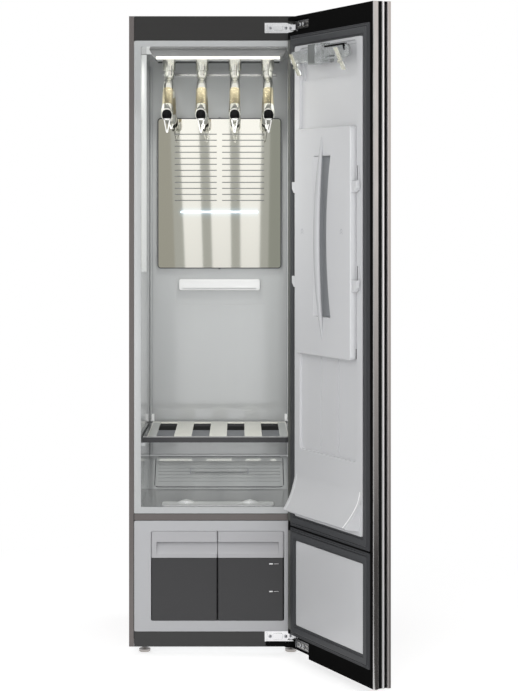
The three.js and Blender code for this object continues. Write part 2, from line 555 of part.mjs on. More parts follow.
function addShelf() {
  const half = backHalf - shelf.sideGap;
  const y0 = front + shelf.frontGap;
  const y1 = backWall - shelf.backGap;
  const top = shelfBottom + shelf.frameHeight;
  const hollow = { y0: y0 + shelf.frontBarDepth, y1: y1 - shelf.rearBar, half: half - shelf.sideBar };
  const plateTop = top - shelf.plateDrop + shelf.plateThickness;
  const frame = without(
    block([-half, half], [y0, y1], [shelfBottom, top])
      .add(block([-half, half], [y0, y0 + shelf.frontBarDepth], [shelfBottom, top + shelf.frontBarExtra])),
    [
      block([-hollow.half, hollow.half], [hollow.y0, y1 - shelf.sideBar], [top - shelf.plateDrop, top + overrun]),
      block([-hollow.half + shelf.ledge, hollow.half - shelf.ledge], [hollow.y0 + shelf.ledge, hollow.y1],
        [shelfBottom - overrun, top]),
    ],
  );
  addPiece(root, "shelf_frame", frame, ...darkPlastic);
  const slots = [];
  const slotPitch = (2 * hollow.half) / shelf.slotCount;
  for (let slot = 0; slot < shelf.slotCount; slot += 1) {
    const x = (slot - (shelf.slotCount - 1) / 2) * slotPitch;
    slots.push(block([x - (slotPitch - shelf.rib) / 2, x + (slotPitch - shelf.rib) / 2], [hollow.y0 + shelf.slotFrontGap, hollow.y1],
      [shelfBottom, top + overrun]));
  }
  const plate = block([-hollow.half + fit, hollow.half - fit], [hollow.y0 + fit, y1 - shelf.sideBar - fit],
    [top - shelf.plateDrop + fit, plateTop + fit]);
  addPiece(root, "shelf_plate", without(plate, slots), 0xe6e4da, 0.4, 0);
}

function addFilter() {
  const body = slopeBlock(filterHalf, [filterStart, filterEnd], [filterSeat + fit, filter.proud]);
  const middle = (filterStart + filterEnd) / 2;
  const grooves = [];
  for (let n = 0; n < filter.slots; n += 1) {
    const s = middle + (n - (filter.slots - 1) / 2) * filter.slotPitch;
    grooves.push(slopeBlock(filterHalf - filter.rim, [s - filter.slotWidth / 2, s + filter.slotWidth / 2],
      [0, filter.proud + overrun]));
  }
  const gripHalf = filterHalf - filter.gripSideInset;
  const grip = slopeBlock(gripHalf, [middle - filter.gripWidth / 2, middle + filter.gripWidth / 2],
    [0, filter.proud + filter.gripHeight]);
  const undercut = slopeBlock(gripHalf - filter.gripWidth,
    [middle - filter.gripWidth, middle + filter.gripWidth], [filter.proud, filter.proud + filter.gripGap]);
  addPiece(root, "lint_filter", without(body, grooves).add(grip).subtract(undercut), 0xb9bcbf, 0.35, 0.2);
}

// Lower compartment
function addTankBay() {
  const hole = [[-bayHalf, bayHalf], [bayBottom, bayTop]];
  const flange = extruded(
    roundedRectangle([-innerSide, innerSide], [band.plinth + fit, dividerBottom - fit], cavity.cornerRadius),
    "y", [front, front + bay.flange],
  );
  const outer = block([-bayHalf - bay.wall, bayHalf + bay.wall], [front, bayBack + bay.wall],
    [bayBottom - bay.wall, bayTop + bay.wall]);
  const space = extruded(roundedRectangle(...hole, tank.cornerRadius), "y", [front - overrun, bayBack]);
  addPiece(root, "tank_bay", flange.add(outer).subtract(space), ...palePlastic);
}

function addTank(name, sign) {
  const xs = sign < 0 ? [-bayHalf + bay.clearance, -tank.middleGap / 2] : [tank.middleGap / 2, bayHalf - bay.clearance];
  const ys = [front, bayBack - tank.backGap];
  const bottom = bayBottom + fit;
  const top = bayTop - bay.clearance;
  const split = top - tank.capHeight;
  const shell = (shape, z) => extruded(shape, "z", z);
  const plan = (inset) => roundedRectangle([xs[0] + inset, xs[1] - inset], [ys[0] + inset, ys[1] - inset],
    Math.max(tank.cornerRadius - inset, tank.cornerRadius / 2));
  const outerCut = extruded(roundedRectangle([-bayHalf, bayHalf], [bayBottom, bayTop], tank.cornerRadius),
    "y", [front - overrun, bayBack]);
  const box = shell(plan(0), [bottom, split - fit]).intersect(outerCut)
    .subtract(shell(plan(tank.wall), [bottom + tank.wall, split + overrun]));
  addPiece(root, `${name}_tank`, box, 0x46484b, 0.15, 0);

  const cap = shell(plan(0), [split, top]).intersect(outerCut);
  const capHollow = shell(plan(tank.capWall), [split + tank.capFloor, top - tank.capFloor])
    .intersect(block(xs, [ys[0] + tank.capFoot, ys[1]], [split, top]));
  const gripTop = top - tank.gripTopDrop;
  const grip = outline([
    [front - overrun, gripTop], [front + tank.gripDepth, gripTop],
    [front + tank.gripDepth, gripTop - tank.gripHeight + tank.gripSlant],
    [front + tank.gripDepth - tank.gripSlant, gripTop - tank.gripHeight], [front - overrun, gripTop - tank.gripHeight],
  ]);
  const gripSpan = sign < 0
    ? [-bayHalf + tank.gripInset, overrun] : [-overrun, bayHalf - tank.gripInset];
  const fillerAt = [(xs[0] + xs[1]) / 2, ys[1] - tank.fillerBack - tank.fillerRadius];
  const filler = rod(tank.fillerRadius, fillerAt, [split - overrun, top + overrun], 20);
  const duct = rod(tank.fillerRadius + tank.fillerRim, fillerAt, [split, top - tank.fillerLip], 20);
  addPiece(root, `${name}_tank_cap`,
    without(cap.subtract(capHollow).add(duct), [extruded(grip, "x", gripSpan), filler]), ...whitePlastic);
}

function addBase() {
  const ys = [front + plinth.depth + fit, rearInside - rearPanel.thickness - fit];
  const pan = block([-skinInside, skinInside], [ys[0], ys[1]], [basePan.rise, basePan.rim]).subtract(
    block([-skinInside + basePan.wall, skinInside - basePan.wall], [ys[0] + basePan.wall, ys[1] - basePan.wall],
      [basePan.rise + basePan.floor, basePan.rim + overrun]),
  );
  // The pan's edge reaches under the rear panel, so that the panel stands on it, and its middle is pressed down.
  const sill = block([-skinInside, skinInside], [ys[1] - basePan.wall, rearInside], [basePan.rise, basePan.rise + basePan.floor]);
  const pad = block([-skinInside + basePan.padInset, skinInside - basePan.padInset],
    [ys[0] + basePan.padInset, ys[1] - basePan.padInset], [0, basePan.rise + basePan.floor]);
  addPiece(root, "base_pan", joined([pan, sill, pad]), ...zinc);

  for (const [name, sx, sy] of [
    ["foot_front_left", -1, -1], ["foot_front_right", 1, -1], ["foot_rear_left", -1, 1], ["foot_rear_right", 1, 1],
  ]) {
    const studTop = basePan.rise - fit;
    const nutBottom = studTop - foot.nutHeight;
    addPiece(root, name, turned([
      [0, -foot.drop], [foot.radius - foot.chamfer, -foot.drop], [foot.radius, -foot.drop + foot.chamfer],
      [foot.radius, -foot.drop + foot.padHeight - foot.chamfer], [foot.radius - foot.chamfer, -foot.drop + foot.padHeight],
      [foot.studRadius, -foot.drop + foot.padHeight], [foot.studRadius, nutBottom], [foot.nutRadius, nutBottom],
      [foot.nutRadius, studTop], [0, studTop],
    ], [sx * (side - foot.sideInset), sy * (rear - foot.endInset)], 12), ...zinc);
  }
}

function addMachinery() {
  const seat = basePan.rise + basePan.floor + fit;
  const can = compressor;
  addPiece(root, "compressor", turned([
    [0, seat], [can.flangeRadius, seat], [can.flangeRadius, seat + can.flange], [can.radius, seat + can.flange],
    [can.radius, seat + can.height - can.dome], [can.radius - can.dome / 2, seat + can.height - can.dome / 3],
    [can.radius / 2, seat + can.height], [0, seat + can.height],
  ], [can.fromSide - side, rear - can.fromRear], 22), 0x1f2022, 0.5, 0.4);

  const core = { x: side - exchanger.fromSide - exchanger.width, y: rear - exchanger.fromRear - exchanger.depth };
  const inner = core.y + exchanger.depth - exchanger.spine;
  const comb = [[core.x, core.y + exchanger.depth]];
  const finPitch = exchanger.width / exchanger.fins;
  for (let fin = 0; fin < exchanger.fins; fin += 1) {
    const x = core.x + fin * finPitch;
    if (fin > 0) comb.push([x, inner]);
    comb.push([x, core.y], [x + finPitch * exchanger.finShare, core.y], [x + finPitch * exchanger.finShare, inner]);
  }
  comb.push([core.x + exchanger.width, inner], [core.x + exchanger.width, core.y + exchanger.depth]);
  addPiece(root, "heat_exchanger", extruded(outline(comb), "z", [seat, seat + exchanger.height]), 0xaab0b3, 0.4, 0.9);

  const boilerZ = seat + steamer.radius + steamer.saddle;
  const boilerAt = [side - steamer.fromSide, bayBack + bay.wall + steamer.behindBay + steamer.radius];
  const boilerX = [boilerAt[0] - steamer.length / 2, boilerAt[0] + steamer.length / 2];
  const boiler = rodAlongX(steamer.radius, [boilerAt[1], boilerZ], boilerX, 10);
  const saddles = boilerX.map((x, i) => {
    const inner = i ? x - steamer.endRadius : x + steamer.endRadius;
    return block([Math.min(x, inner), Math.max(x, inner)],
      [boilerAt[1] - steamer.saddleDepth / 2, boilerAt[1] + steamer.saddleDepth / 2], [seat, boilerZ]);
  });
  const spout = rod(steamer.neckRadius, boilerAt, [boilerZ, boilerZ + steamer.radius + steamer.neckHeight], 12);
  addPiece(root, "steam_generator", joined([boiler, ...saddles, spout]), 0xb5b8ba, 0.3, 0.9);

  addBlower();

  const deckZ = flangeTop;
  const ys = [front + board.setback, front + board.setback + board.depth];
  const half = side - board.sideGap;
  const box = extruded(roundedRectangle([-half, half], ys, board.cornerRadius), "z",
    [deckZ, deckZ + board.height]);
  const ribs = [];
  for (let n = 0; n < board.ribs; n += 1) {
    const x = (n - (board.ribs - 1) / 2) * ((2 * half) / (board.ribs + 1));
    ribs.push(block([x - board.ribWidth / 2, x + board.ribWidth / 2],
      [ys[0] + board.cornerRadius, ys[1] - board.cornerRadius],
      [deckZ + board.height - board.ribHeight, deckZ + board.height + board.ribHeight]));
  }
  addPiece(root, "control_box", joined([box, ...ribs]), ...darkPlastic);
}

// A drum with its inlet in front and its outlet up to the deck, round a wheel of forward-curved blades.
function addBlower() {
  const at = [blower.fromSide - side, dividerBottom - blower.drop];
  const ys = [rear - blower.fromRear, rear - blower.fromRear + blower.depth];
  const outletTop = flangeBottom - foam.deckThickness - 2 * fit;
  const outletX = [at[0], at[0] + blower.radius];
  const drum = rodAlongY(blower.radius, at, ys, 14)
    .add(block([outletX[1] - blower.outletWidth, outletX[1]], ys, [at[1], outletTop]));
  const hollow = rodAlongY(blower.radius - blower.wall, at, [ys[0] + blower.wall, ys[1] - blower.wall], 14)
    .add(block([outletX[1] - blower.outletWidth + blower.wall, outletX[1] - blower.wall],
      [ys[0] + blower.wall, ys[1] - blower.wall], [at[1], outletTop + overrun]));
  const inlet = rodAlongY(blower.inletRadius, at, [ys[0] - overrun, ys[0] + 2 * blower.wall]);
  const shaft = rodAlongY(blower.shaftRadius, at, [ys[0] + 2 * blower.wall, ys[1] - blower.wall / 2], 6);
  addPiece(root, "blower_housing", drum.subtract(hollow).subtract(inlet).add(shaft), ...darkPlastic);

  const wheelY = [ys[0] + 2 * blower.wall, ys[0] + 2 * blower.wall + blower.wheelDepth];
  const disc = rodAlongY(blower.wheelRadius, at, [wheelY[1] - blower.ring, wheelY[1]], 13);
  const rim = rodAlongY(blower.wheelRadius, at, [wheelY[0], wheelY[0] + blower.ring], 13)
    .subtract(rodAlongY(blower.wheelRadius - blower.bladeDepth, at, [wheelY[0] - overrun, wheelY[0] + overrun], 13));
  const hub = rodAlongY(blower.hubRadius, at, [wheelY[0] + blower.wheelDepth / 2, wheelY[1]], 6);
  const blades = [];
  const inner = blower.wheelRadius - blower.bladeDepth + fit;
  const outer = blower.wheelRadius - fit;
  const half = blower.bladeThickness / 2;
  const rakeShare = 0.5;
  for (let n = 0; n < blower.blades; n += 1) {
    const blade = new THREE.Shape([
      new THREE.Vector2(-half, inner), new THREE.Vector2(half, inner),
      new THREE.Vector2(half + blower.bladeDepth * rakeShare, outer), new THREE.Vector2(-half + blower.bladeDepth * rakeShare, outer),
    ]);
    const geometry = new THREE.ExtrudeGeometry(blade, { depth: blower.wheelDepth - blower.ring, bevelEnabled: false });
    geometry.rotateZ((n / blower.blades) * 4 * rightAngle);
    geometry.applyMatrix4(extrudeFrames.y);
    geometry.translate(at[0], wheelY[1] - blower.ring / 2, at[1]);
    blades.push(solidOf(geometry));
  }
  const bore = rodAlongY(blower.shaftRadius + fit, at, [wheelY[0] - overrun, wheelY[1] + overrun], 6);
  addPiece(root, "blower_wheel", joined([disc, rim, hub, ...blades]).subtract(bore), 0xdedede, 0.5, 0);
}

// Hinges
const hingeLevels = {
  top: cabinet.height - hingePlate.topDrop - hingePlate.height / 2,
  bottom: hingePlate.bottomRise + hingePlate.height / 2,
};

function addHingePlate(name, level) {
  const xs = [side - hingePlate.fromSide - hingePlate.width, side - hingePlate.fromSide];
  const face = front - fit;
  const plateBox = block(xs, [face - hingePlate.thickness, face], [level - hingePlate.height / 2, level + hingePlate.height / 2]);
  const screws = [xs[0] + hingePlate.screwInset, xs[1] - hingePlate.screwInset * 1.4].map((x) =>
    rodAlongY(hingePlate.screwRadius, [x, level], [face - hingePlate.thickness - hingePlate.screwHeight, face], 4));
  const from = new THREE.Vector2(xs[1] - hingePlate.armWidth / 2, face - hingePlate.thickness / 2);
  const to = new THREE.Vector2(pivot.x, pivot.y);
  const across = to.clone().sub(from).normalize().rotateAround(new THREE.Vector2(), rightAngle)
    .multiplyScalar(hingePlate.armWidth / 2);
  const arm = extruded(new THREE.Shape([
    from.clone().add(across), to.clone().add(across), to.clone().sub(across), from.clone().sub(across),
  ]), "z", [level - hingePlate.armHeight / 2, level + hingePlate.armHeight / 2])
    .intersect(block([xs[0], side], [pivot.y - overrun * 2, face], [level - hingePlate.height, level + hingePlate.height]));
  const knuckle = rod(hingePlate.knuckleRadius, [pivot.x, pivot.y],
    [level - hingePlate.armHeight / 2, level + hingePlate.armHeight / 2], 20);
  const bore = rod(hinge.pinRadius + fit, [pivot.x, pivot.y],
    [level - hingePlate.height, level + hingePlate.height], 16);
  addPiece(root, name, joined([plateBox, ...screws, arm, knuckle]).subtract(bore), ...chrome);
}

// The door's frame turns about the hinge line.
const pivotGroup = new THREE.Group();
pivotGroup.position.set(pivot.x, pivot.y, 0);
pivotGroup.rotation.z = THREE.MathUtils.degToRad(hinge.openAngle + 180);
const doorGroup = new THREE.Group();
doorGroup.position.set(-hinge.fromEdge, -hinge.fromInnerFace, 0);
pivotGroup.add(doorGroup);
root.add(pivotGroup);

function hingePocket(level) {
  const half = hinge.pocketHeight / 2;
  return [
    block([-overrun, hinge.pocketWidth], [-overrun, hinge.pocketDepth], [level - half, level + half]),
    block([0, hinge.leafReach + fit], [-overrun, hinge.leafPocketDepth], [level - half, level + half]),
  ];
}

function addDoorShell() {
  const free = doorWidth - door.edgeInset;
  const core = block([0, free], [0, door.coreThickness], [0, doorHeight]);
  const linerPocket = block([gasket.border + gasket.width, doorWidth - gasket.border - gasket.width],
    [-overrun, liner.seat + fit], [linerBottom, linerTop]);
  const lowerPocket = block([gasket.border + gasket.width, doorWidth - gasket.border - gasket.width],
    [-overrun, lowerLiner.seat + fit], [lowerLinerBottom, lowerLinerTop]);
  const seats = gasketRings.map(([z0, z1]) => gasketRing(z0, z1, [-overrun, gasket.seat + fit], fit));
  const notch = block([-overrun, hinge.leafReach + fit], [-overrun, hinge.pocketDepth], [-overrun, door.bottomNotch]);
  // The shell is a tray that the front panel closes.
  const hollow = block([hinge.pocketWidth + door.wall, free - door.wall], [liner.seat + fit + door.wall, door.coreThickness + overrun],
    [hingeLevels.bottom + hinge.pocketHeight, hingeLevels.top - hinge.pocketHeight]);
  addPiece(doorGroup, "door_shell", without(core, [
    hollow, linerPocket, lowerPocket, notch, ...seats, ...hingePocket(hingeLevels.top), ...hingePocket(hingeLevels.bottom),
  ]), ...darkPlastic);
}

const gasketRings = [[linerBottom, linerTop], [lowerLinerBottom, lowerLinerTop]];

// A ring round the opening between z0 and z1, between two depths, grown on all sides by an offset.
function gasketRing(z0, z1, ys, grow) {
  const inner = gasket.border + gasket.width;
  const width = Math.min(gasket.width, (gasketRings[0][0] - gasketRings[1][1]) / 2 - fit * 2);
  const outer = block([gasket.border - grow, doorWidth - gasket.border + grow], ys, [z0 - width - grow, z1 + width + grow]);
  const hole = block([inner + grow, doorWidth - inner - grow], [ys[0] - overrun, ys[1] + overrun], [z0 + grow, z1 - grow]);
  return outer.subtract(hole);
}

function addGaskets() {
  gasketRings.forEach(([z0, z1], i) => {
    const body = gasketRing(z0, z1, [-gasket.proud, gasket.seat], 0);
    const inner = gasket.border + gasket.width;
    const bead = gasket.lip;
    // The bead stands along the ring's middle; the rest of the face lies lower.
    const low = [inner - bead, doorWidth - inner + bead];
    const trough = block([low[0], low[1]], [-gasket.proud - overrun, -gasket.proud / 2], [z0 - bead, z1 + bead]);
    addPiece(doorGroup, i ? "gasket_lower" : "gasket_upper", body.subtract(trough), 0x2e2f31, 0.7, 0);
  });
}

function addDoorTrims() {
  const core = door.coreThickness;
  const from = doorWidth - door.edgeInset + fit;
  addPiece(doorGroup, "door_edge_trim", block([from, doorWidth], [0, door.edgeTrimDepth], [0, doorHeight]), ...zinc);
  const barY = door.edgeTrimDepth + door.grooveDepth;
  addPiece(doorGroup, "door_grip_bar", block([from, doorWidth], [barY, barY + door.gripBarDepth], [0, doorHeight]), ...chrome);
  const panelBack = core + fit;
  const pan = block([door.outerSkin, doorWidth - door.outerSkin],
    [panelBack - overrun, panelBack + door.outerThickness - door.outerSkin], [door.outerSkin, doorHeight - door.outerSkin]);
  addPiece(doorGroup, "door_front_panel", extruded(roundedRectangle(
    [0, doorWidth], [panelBack, panelBack + door.outerThickness], door.outerCorner), "z", [0, doorHeight], 3)
    .subtract(pan), ...steel);
}

function addDoorLiner() {
  const width = [linerEdge, doorWidth - linerEdge];
  const z = [linerBottom + fit, linerTop - fit];
  const plate = extruded(roundedRectangle(width, z, liner.cornerRadius), "y", [-liner.proud, liner.seat]);
  const recessTop = linerTop - liner.recessTopDrop;
  const recess = extruded(
    roundedRectangle([width[0] + liner.recessSide, width[1] - liner.recessSide], [recessBottom, recessTop], liner.recessRadius),
    "y", [-liner.proud - overrun, -liner.proud + liner.recessDepth],
  );
  const niche = extruded(
    roundedRectangle(
      [width[0] + liner.recessSide + liner.nicheSide, width[1] - liner.recessSide - liner.nicheSide],
      [recessTop - liner.nicheHeight, recessTop - liner.cornerRadius], liner.cornerRadius,
    ),
    "y", [-liner.proud, -liner.proud + liner.recessDepth + liner.nicheDepth],
  );
  const grooves = [-1, 1].map((sign) => {
    const w = doorMiddle + sign * liner.grooveFromMiddle;
    return block([w - liner.grooveWidth / 2, w + liner.grooveWidth / 2],
      [-liner.proud, -liner.proud + liner.recessDepth + liner.grooveDepth],
      [recessBottom + liner.recessRadius, pressBottom + press.cornerRadius]);
  });
  const hookSlots = tabHeights.flatMap((tabZ) => [width[0] + liner.recessSide / 2, width[1] - liner.recessSide / 2].map((w) =>
    block([w - liner.slotWidth / 2, w + liner.slotWidth / 2], [-liner.proud - overrun, -liner.proud + liner.slotDepth],
      [tabZ + liner.slotFoot, tabZ + press.tabHeight + liner.slotHeight])));

  // The scoop flares out over the cavity's sill and turns back under.
  const flare = new THREE.Shape();
  flare.moveTo(0, scoopTop);
  flare.lineTo(-liner.proud, scoopTop);
  flare.quadraticCurveTo(-liner.proud * 2, (scoopTop + scoopBottom) / 2, -liner.scoopProud, scoopBottom);
  flare.lineTo(-liner.scoopProud + liner.scoopLip, scoopBottom - liner.scoopLip);
  flare.lineTo(0, linerBottom + liner.cornerRadius + liner.scoopLip);
  flare.closePath();
  const scoopWidth = [width[0] + liner.scoopSideInset, width[1] - liner.scoopSideInset];
  // Seen from the front the scoop narrows towards its lower edge.
  const taper = outline([
    [scoopWidth[0], scoopTop + overrun], [scoopWidth[1], scoopTop + overrun],
    [scoopWidth[1], (scoopTop + scoopBottom) / 2 + liner.scoopInset],
    [scoopWidth[1] - liner.scoopInset, linerBottom], [scoopWidth[0] + liner.scoopInset, linerBottom],
    [scoopWidth[0], (scoopTop + scoopBottom) / 2 + liner.scoopInset],
  ]);
  const scoop = extruded(flare, "x", scoopWidth, 8)
    .intersect(extruded(taper, "y", [-liner.scoopProud - overrun, overrun]));
  addPiece(doorGroup, "door_liner",
    without(plate, [recess, niche, ...grooves, ...hookSlots]).add(scoop), ...whitePlastic);

  const lowZ = [lowerLinerBottom + fit, lowerLinerTop - fit];
  addPiece(doorGroup, "door_lower_liner",
    extruded(roundedRectangle(width, lowZ, lowerLiner.cornerRadius), "y", [-lowerLiner.proud, lowerLiner.seat]), ...whitePlastic);
}

function addHingeLeaf(name, level) {
  const t = hinge.leafThickness;
  const armHalf = hingePlate.armHeight / 2;
  const pin = [hinge.fromEdge, hinge.fromInnerFace];
  const cheekX = [pin[0] - hingePlate.knuckleRadius, hinge.pocketWidth - fit];
  const cheekY = [pin[1] - hingePlate.knuckleRadius, hinge.pocketDepth - fit];
  const cheeks = [-1, 1].map((sign) => {
    const z = sign > 0 ? [level + armHalf + hinge.leafGap, level + armHalf + hinge.leafGap + t]
      : [level - armHalf - hinge.leafGap - t, level - armHalf - hinge.leafGap];
    return block(cheekX, cheekY, z);
  });
  const height = [level - armHalf - hinge.leafGap - t, level + armHalf + hinge.leafGap + t];
  const web = block([hinge.pocketWidth - fit - hinge.webWidth, hinge.pocketWidth - fit], [fit, cheekY[1]], height);
  const leaf = block([hinge.pocketWidth - fit - hinge.webWidth, hinge.leafReach],
    [hinge.leafPocketDepth - fit - t, hinge.leafPocketDepth - fit], height);
  const barrel = rod(hinge.pinRadius, pin, height, 16);
  const screws = [1, 2].map((n) => {
    const w = hinge.pocketWidth + (n * (hinge.leafReach - hinge.pocketWidth)) / 3;
    return rodAlongY(hingePlate.screwRadius, [w, level],
      [hinge.leafPocketDepth - fit - t - hingePlate.screwHeight, hinge.leafPocketDepth - fit], 4);
  });
  addPiece(doorGroup, name, joined([...cheeks, web, leaf, barrel, ...screws]), ...chrome);
}

function addPress() {
  const middle = doorMiddle;
  const back = -liner.proud - fit;
  const face = back - press.thickness;
  const board = extruded(
    roundedRectangle([middle - pressHalf, middle + pressHalf], [pressBottom, pressTop], press.cornerRadius),
    "y", [face, back],
  );
  const recess = extruded(
    roundedRectangle([middle - press.recessHalf, middle + press.recessHalf], [pressBottom + press.recessRise, pressTop - press.recessDrop], press.recessRadius),
    "y", [face - overrun, face + press.recessDepth],
  );
  // The bow stands on the plate above and below the finger recess.
  const bowEnds = [pressBottom + press.bowRise, pressTop - press.bowDrop];
  const bowMiddle = (bowEnds[0] + bowEnds[1]) / 2;
  const bowHalf = (bowEnds[1] - bowEnds[0]) / 2;
  const steps = 10;
  const arch = (height, inset) => {
    const points = [];
    for (let n = 0; n <= steps; n += 1) {
      const along = (2 * n) / steps - 1;
      points.push([face - height * (1 - along * along), bowMiddle + along * (bowHalf - inset)]);
    }
    return points;
  };
  const outerArch = arch(press.bowHeight, 0);
  const innerArch = arch(press.bowHeight - press.bowThickness, 2 * press.bowThickness).reverse();
  const stripe = outline([
    [face + fit, bowEnds[0]], ...outerArch, [face + fit, bowEnds[1]],
    [face + fit, bowMiddle + bowHalf - 2 * press.bowThickness], ...innerArch,
    [face + fit, bowMiddle - bowHalf + 2 * press.bowThickness],
  ]);
  const bow = extruded(stripe, "x", [middle - press.bowHalfWidth, middle + press.bowHalfWidth]);
  const tabs = tabHeights.flatMap((z) => [-1, 1].map((sign) => {
    const root = middle + sign * (pressHalf - press.tabClear);
    const end = middle + sign * (pressHalf + press.tabLength);
    const shape = outline([
      [root, z], [end - sign * press.tabTaper, z], [end, z + press.tabTaper], [end, z + press.tabHeight], [root, z + press.tabHeight],
    ]);
    // A tongue behind the tab runs in the liner's slot.
    const w = middle + sign * (middle - gasket.border - gasket.width - fit - liner.recessSide / 2);
    const tongue = block([w - liner.slotWidth / 2 + fit, w + liner.slotWidth / 2 - fit],
      [back - press.tabClear - fit, -liner.proud + liner.slotDepth - fit], [z + liner.slotFoot + fit, z + press.tabHeight - fit]);
    return extruded(shape, "y", [back - press.tabClear - press.tabThickness, back - press.tabClear]).add(tongue);
  }));
  addPiece(doorGroup, "press_plate", joined([board.subtract(recess), bow, ...tabs]), ...whitePlastic);
}

function addTrouserHanger() {
  const middle = doorMiddle;
  const floorY = -liner.proud + liner.recessDepth + liner.nicheDepth; // the niche's floor
  const t = trouser;
  const halfSpan = middle - t.sideGap;
  const barBottom = linerTop - t.drop;
  const blockBottom = linerTop - t.blockDrop;
  const hookBottom = linerTop - hook.drop;
  const hookFace = -liner.proud - hook.reach;
  const hookSpan = [middle - hook.halfWidth, middle + hook.halfWidth];
  const arm = outline([
    [floorY - fit, hookBottom], [floorY - fit, hookBottom + hook.height], [floorY - fit - hook.plate, hookBottom + hook.height],
    [floorY - fit - hook.plate, hookBottom + hook.height / 2 + hook.lipThickness],
    [hookFace + hook.lipThickness, hookBottom + hook.height / 2 + hook.lipThickness],
    [hookFace + hook.lipThickness, hookBottom + hook.height / 2 + hook.lipThickness + hook.lip],
    [hookFace, hookBottom + hook.height / 2 + hook.lipThickness + hook.lip], [hookFace, hookBottom + hook.height / 2],
    [floorY - fit - hook.plate, hookBottom + hook.height / 2], [floorY - fit - hook.plate, hookBottom],
  ]);
  addPiece(doorGroup, "trouser_hook", extruded(arm, "x", hookSpan), ...darkPlastic);

  const barY = [-t.barProud - t.barThickness, -t.barProud];
  const bar = extruded(
    roundedRectangle([middle - halfSpan, middle + halfSpan], [barBottom, barBottom + t.barHeight], t.cornerRadius),
    "y", barY,
  ).subtract(extruded(
    roundedRectangle(
      [middle + t.blockHalf + t.windowGap, middle + t.blockHalf + t.windowGap + 2 * t.windowHalf],
      [barBottom + t.windowHeight, barBottom + 2 * t.windowHeight], t.windowHeight / 3),
    "y", [barY[0] - overrun, barY[1] + overrun],
  ));
  const blockBack = hookFace - fit + hook.lipThickness + t.blockWall + fit * 2;
  const blockY = [blockBack - t.blockDepth, blockBack];
  const housing = block([middle - t.blockHalf, middle + t.blockHalf], blockY, [blockBottom, blockBottom + t.blockHeight]);
  // The hook's lip stands in a slot that is open downwards, so that the hanger lifts off it.
  const lipSlot = block([hookSpan[0] - fit, hookSpan[1] + fit], [hookFace - fit, hookFace + hook.lipThickness + fit],
    [blockBottom - overrun, hookBottom + hook.height / 2 + hook.lipThickness + hook.lip + fit]);
  const underSlot = block([hookSpan[0] - fit, hookSpan[1] + fit], [hookFace, blockY[1] + overrun],
    [blockBottom - overrun, hookBottom + hook.height / 2 + hook.lipThickness + fit]);
  const clips = [-1, 1].map((sign) => middle + sign * (halfSpan - t.clipFromEnd));
  const tilt = Math.tan(THREE.MathUtils.degToRad(t.jawTilt));
  const gripZ = barBottom - t.jawDrop;
  const gripY = -t.barProud + t.jawThickness;
  const lineAt = (z, offset) => gripY + offset - (z - gripZ) * tilt;
  const jawShape = (from, to, offset) => outline([
    [lineAt(from, offset), from], [lineAt(to, offset), to],
    [lineAt(to, offset) + t.jawThickness, to], [lineAt(from, offset) + t.jawThickness, from],
  ]);
  const pivotZ = gripZ + t.pivotRise;
  const pivotY = lineAt(pivotZ, -(t.gripGap + t.lugRadius) / Math.cos(THREE.MathUtils.degToRad(t.jawTilt)));
  // The fixed jaw ends below the pivot, and a thin ear carries the pivot and joins both to the bar.
  const fixedTop = pivotZ - t.gripGap;
  const barMiddle = (barY[0] + barY[1]) / 2;
  const fixed = clips.flatMap((w) => [
    extruded(jawShape(gripZ, fixedTop, 0), "x", [w - t.clipWidth / 2, w + t.clipWidth / 2]),
    extruded(outline([
      [lineAt(pivotZ - t.lugRadius, t.jawThickness / 2), pivotZ - t.lugRadius], [barMiddle, barBottom + t.pivotRadius],
      [barMiddle, barBottom + t.pivotRadius + t.lugRadius], [pivotY, pivotZ + t.lugRadius],
      [pivotY - t.lugRadius, pivotZ], [pivotY, pivotZ - t.lugRadius],
    ]), "x", [w - t.earThickness / 2, w + t.earThickness / 2]),
    extruded(new THREE.Shape().absarc(pivotY, pivotZ, t.pivotRadius, 0, 4 * rightAngle), "x",
      [w - t.clipWidth / 2 + t.earThickness / 2, w + t.clipWidth / 2 - t.earThickness / 2], 6),
  ]);
  addPiece(doorGroup, "trouser_hanger",
    joined([bar, without(housing, [lipSlot, underSlot]), ...fixed]), 0xdfe3e3, 0.1, 0);

  clips.forEach((w, i) => {
    const offset = -t.gripGap - t.jawThickness;
    const jaw = extruded(jawShape(gripZ, gripZ + t.jawHeight, offset), "x", [w - t.clipWidth / 2, w + t.clipWidth / 2]);
    const lug = extruded(new THREE.Shape().absarc(pivotY, pivotZ, t.lugRadius, 0, 4 * rightAngle), "x",
      [w - t.clipWidth / 2, w + t.clipWidth / 2], 6);
    const bore = extruded(new THREE.Shape().absarc(pivotY, pivotZ, t.pivotRadius + fit, 0, 4 * rightAngle), "x",
      [w - t.clipWidth / 2 - fit, w + t.clipWidth / 2 + fit], 6);
    const earGap = block([w - t.earThickness / 2 - t.gripGap, w + t.earThickness / 2 + t.gripGap],
      [pivotY - 2 * t.lugRadius, pivotY + 3 * t.lugRadius], [pivotZ - 2 * t.lugRadius, pivotZ + t.jawHeight - t.pivotRise - t.lugRadius]);
    addPiece(doorGroup, i ? "clip_jaw_right" : "clip_jaw_left", without(jaw.add(lug), [bore, earGap]), ...chrome);
  });
}

addCase();
addFascia();
addCavity();
addHood();
for (let number = 0; number < hangers.count; number += 1) {
  addSocket(number);
  addHanger(number);
}
addBackWallFittings();
addSteamBar();
addShelf();
addFilter();
addTankBay();
addTank("supply", -1);
addTank("drain", 1);
addBase();
addMachinery();
addHingePlate("hinge_plate_top", hingeLevels.top);
addHingePlate("hinge_plate_bottom", hingeLevels.bottom);
addDoorShell();
addGaskets();
addDoorTrims();
addDoorLiner();
addHingeLeaf("hinge_leaf_top", hingeLevels.top);
addHingeLeaf("hinge_leaf_bottom", hingeLevels.bottom);
addPress();
addTrouserHanger();

export default root;
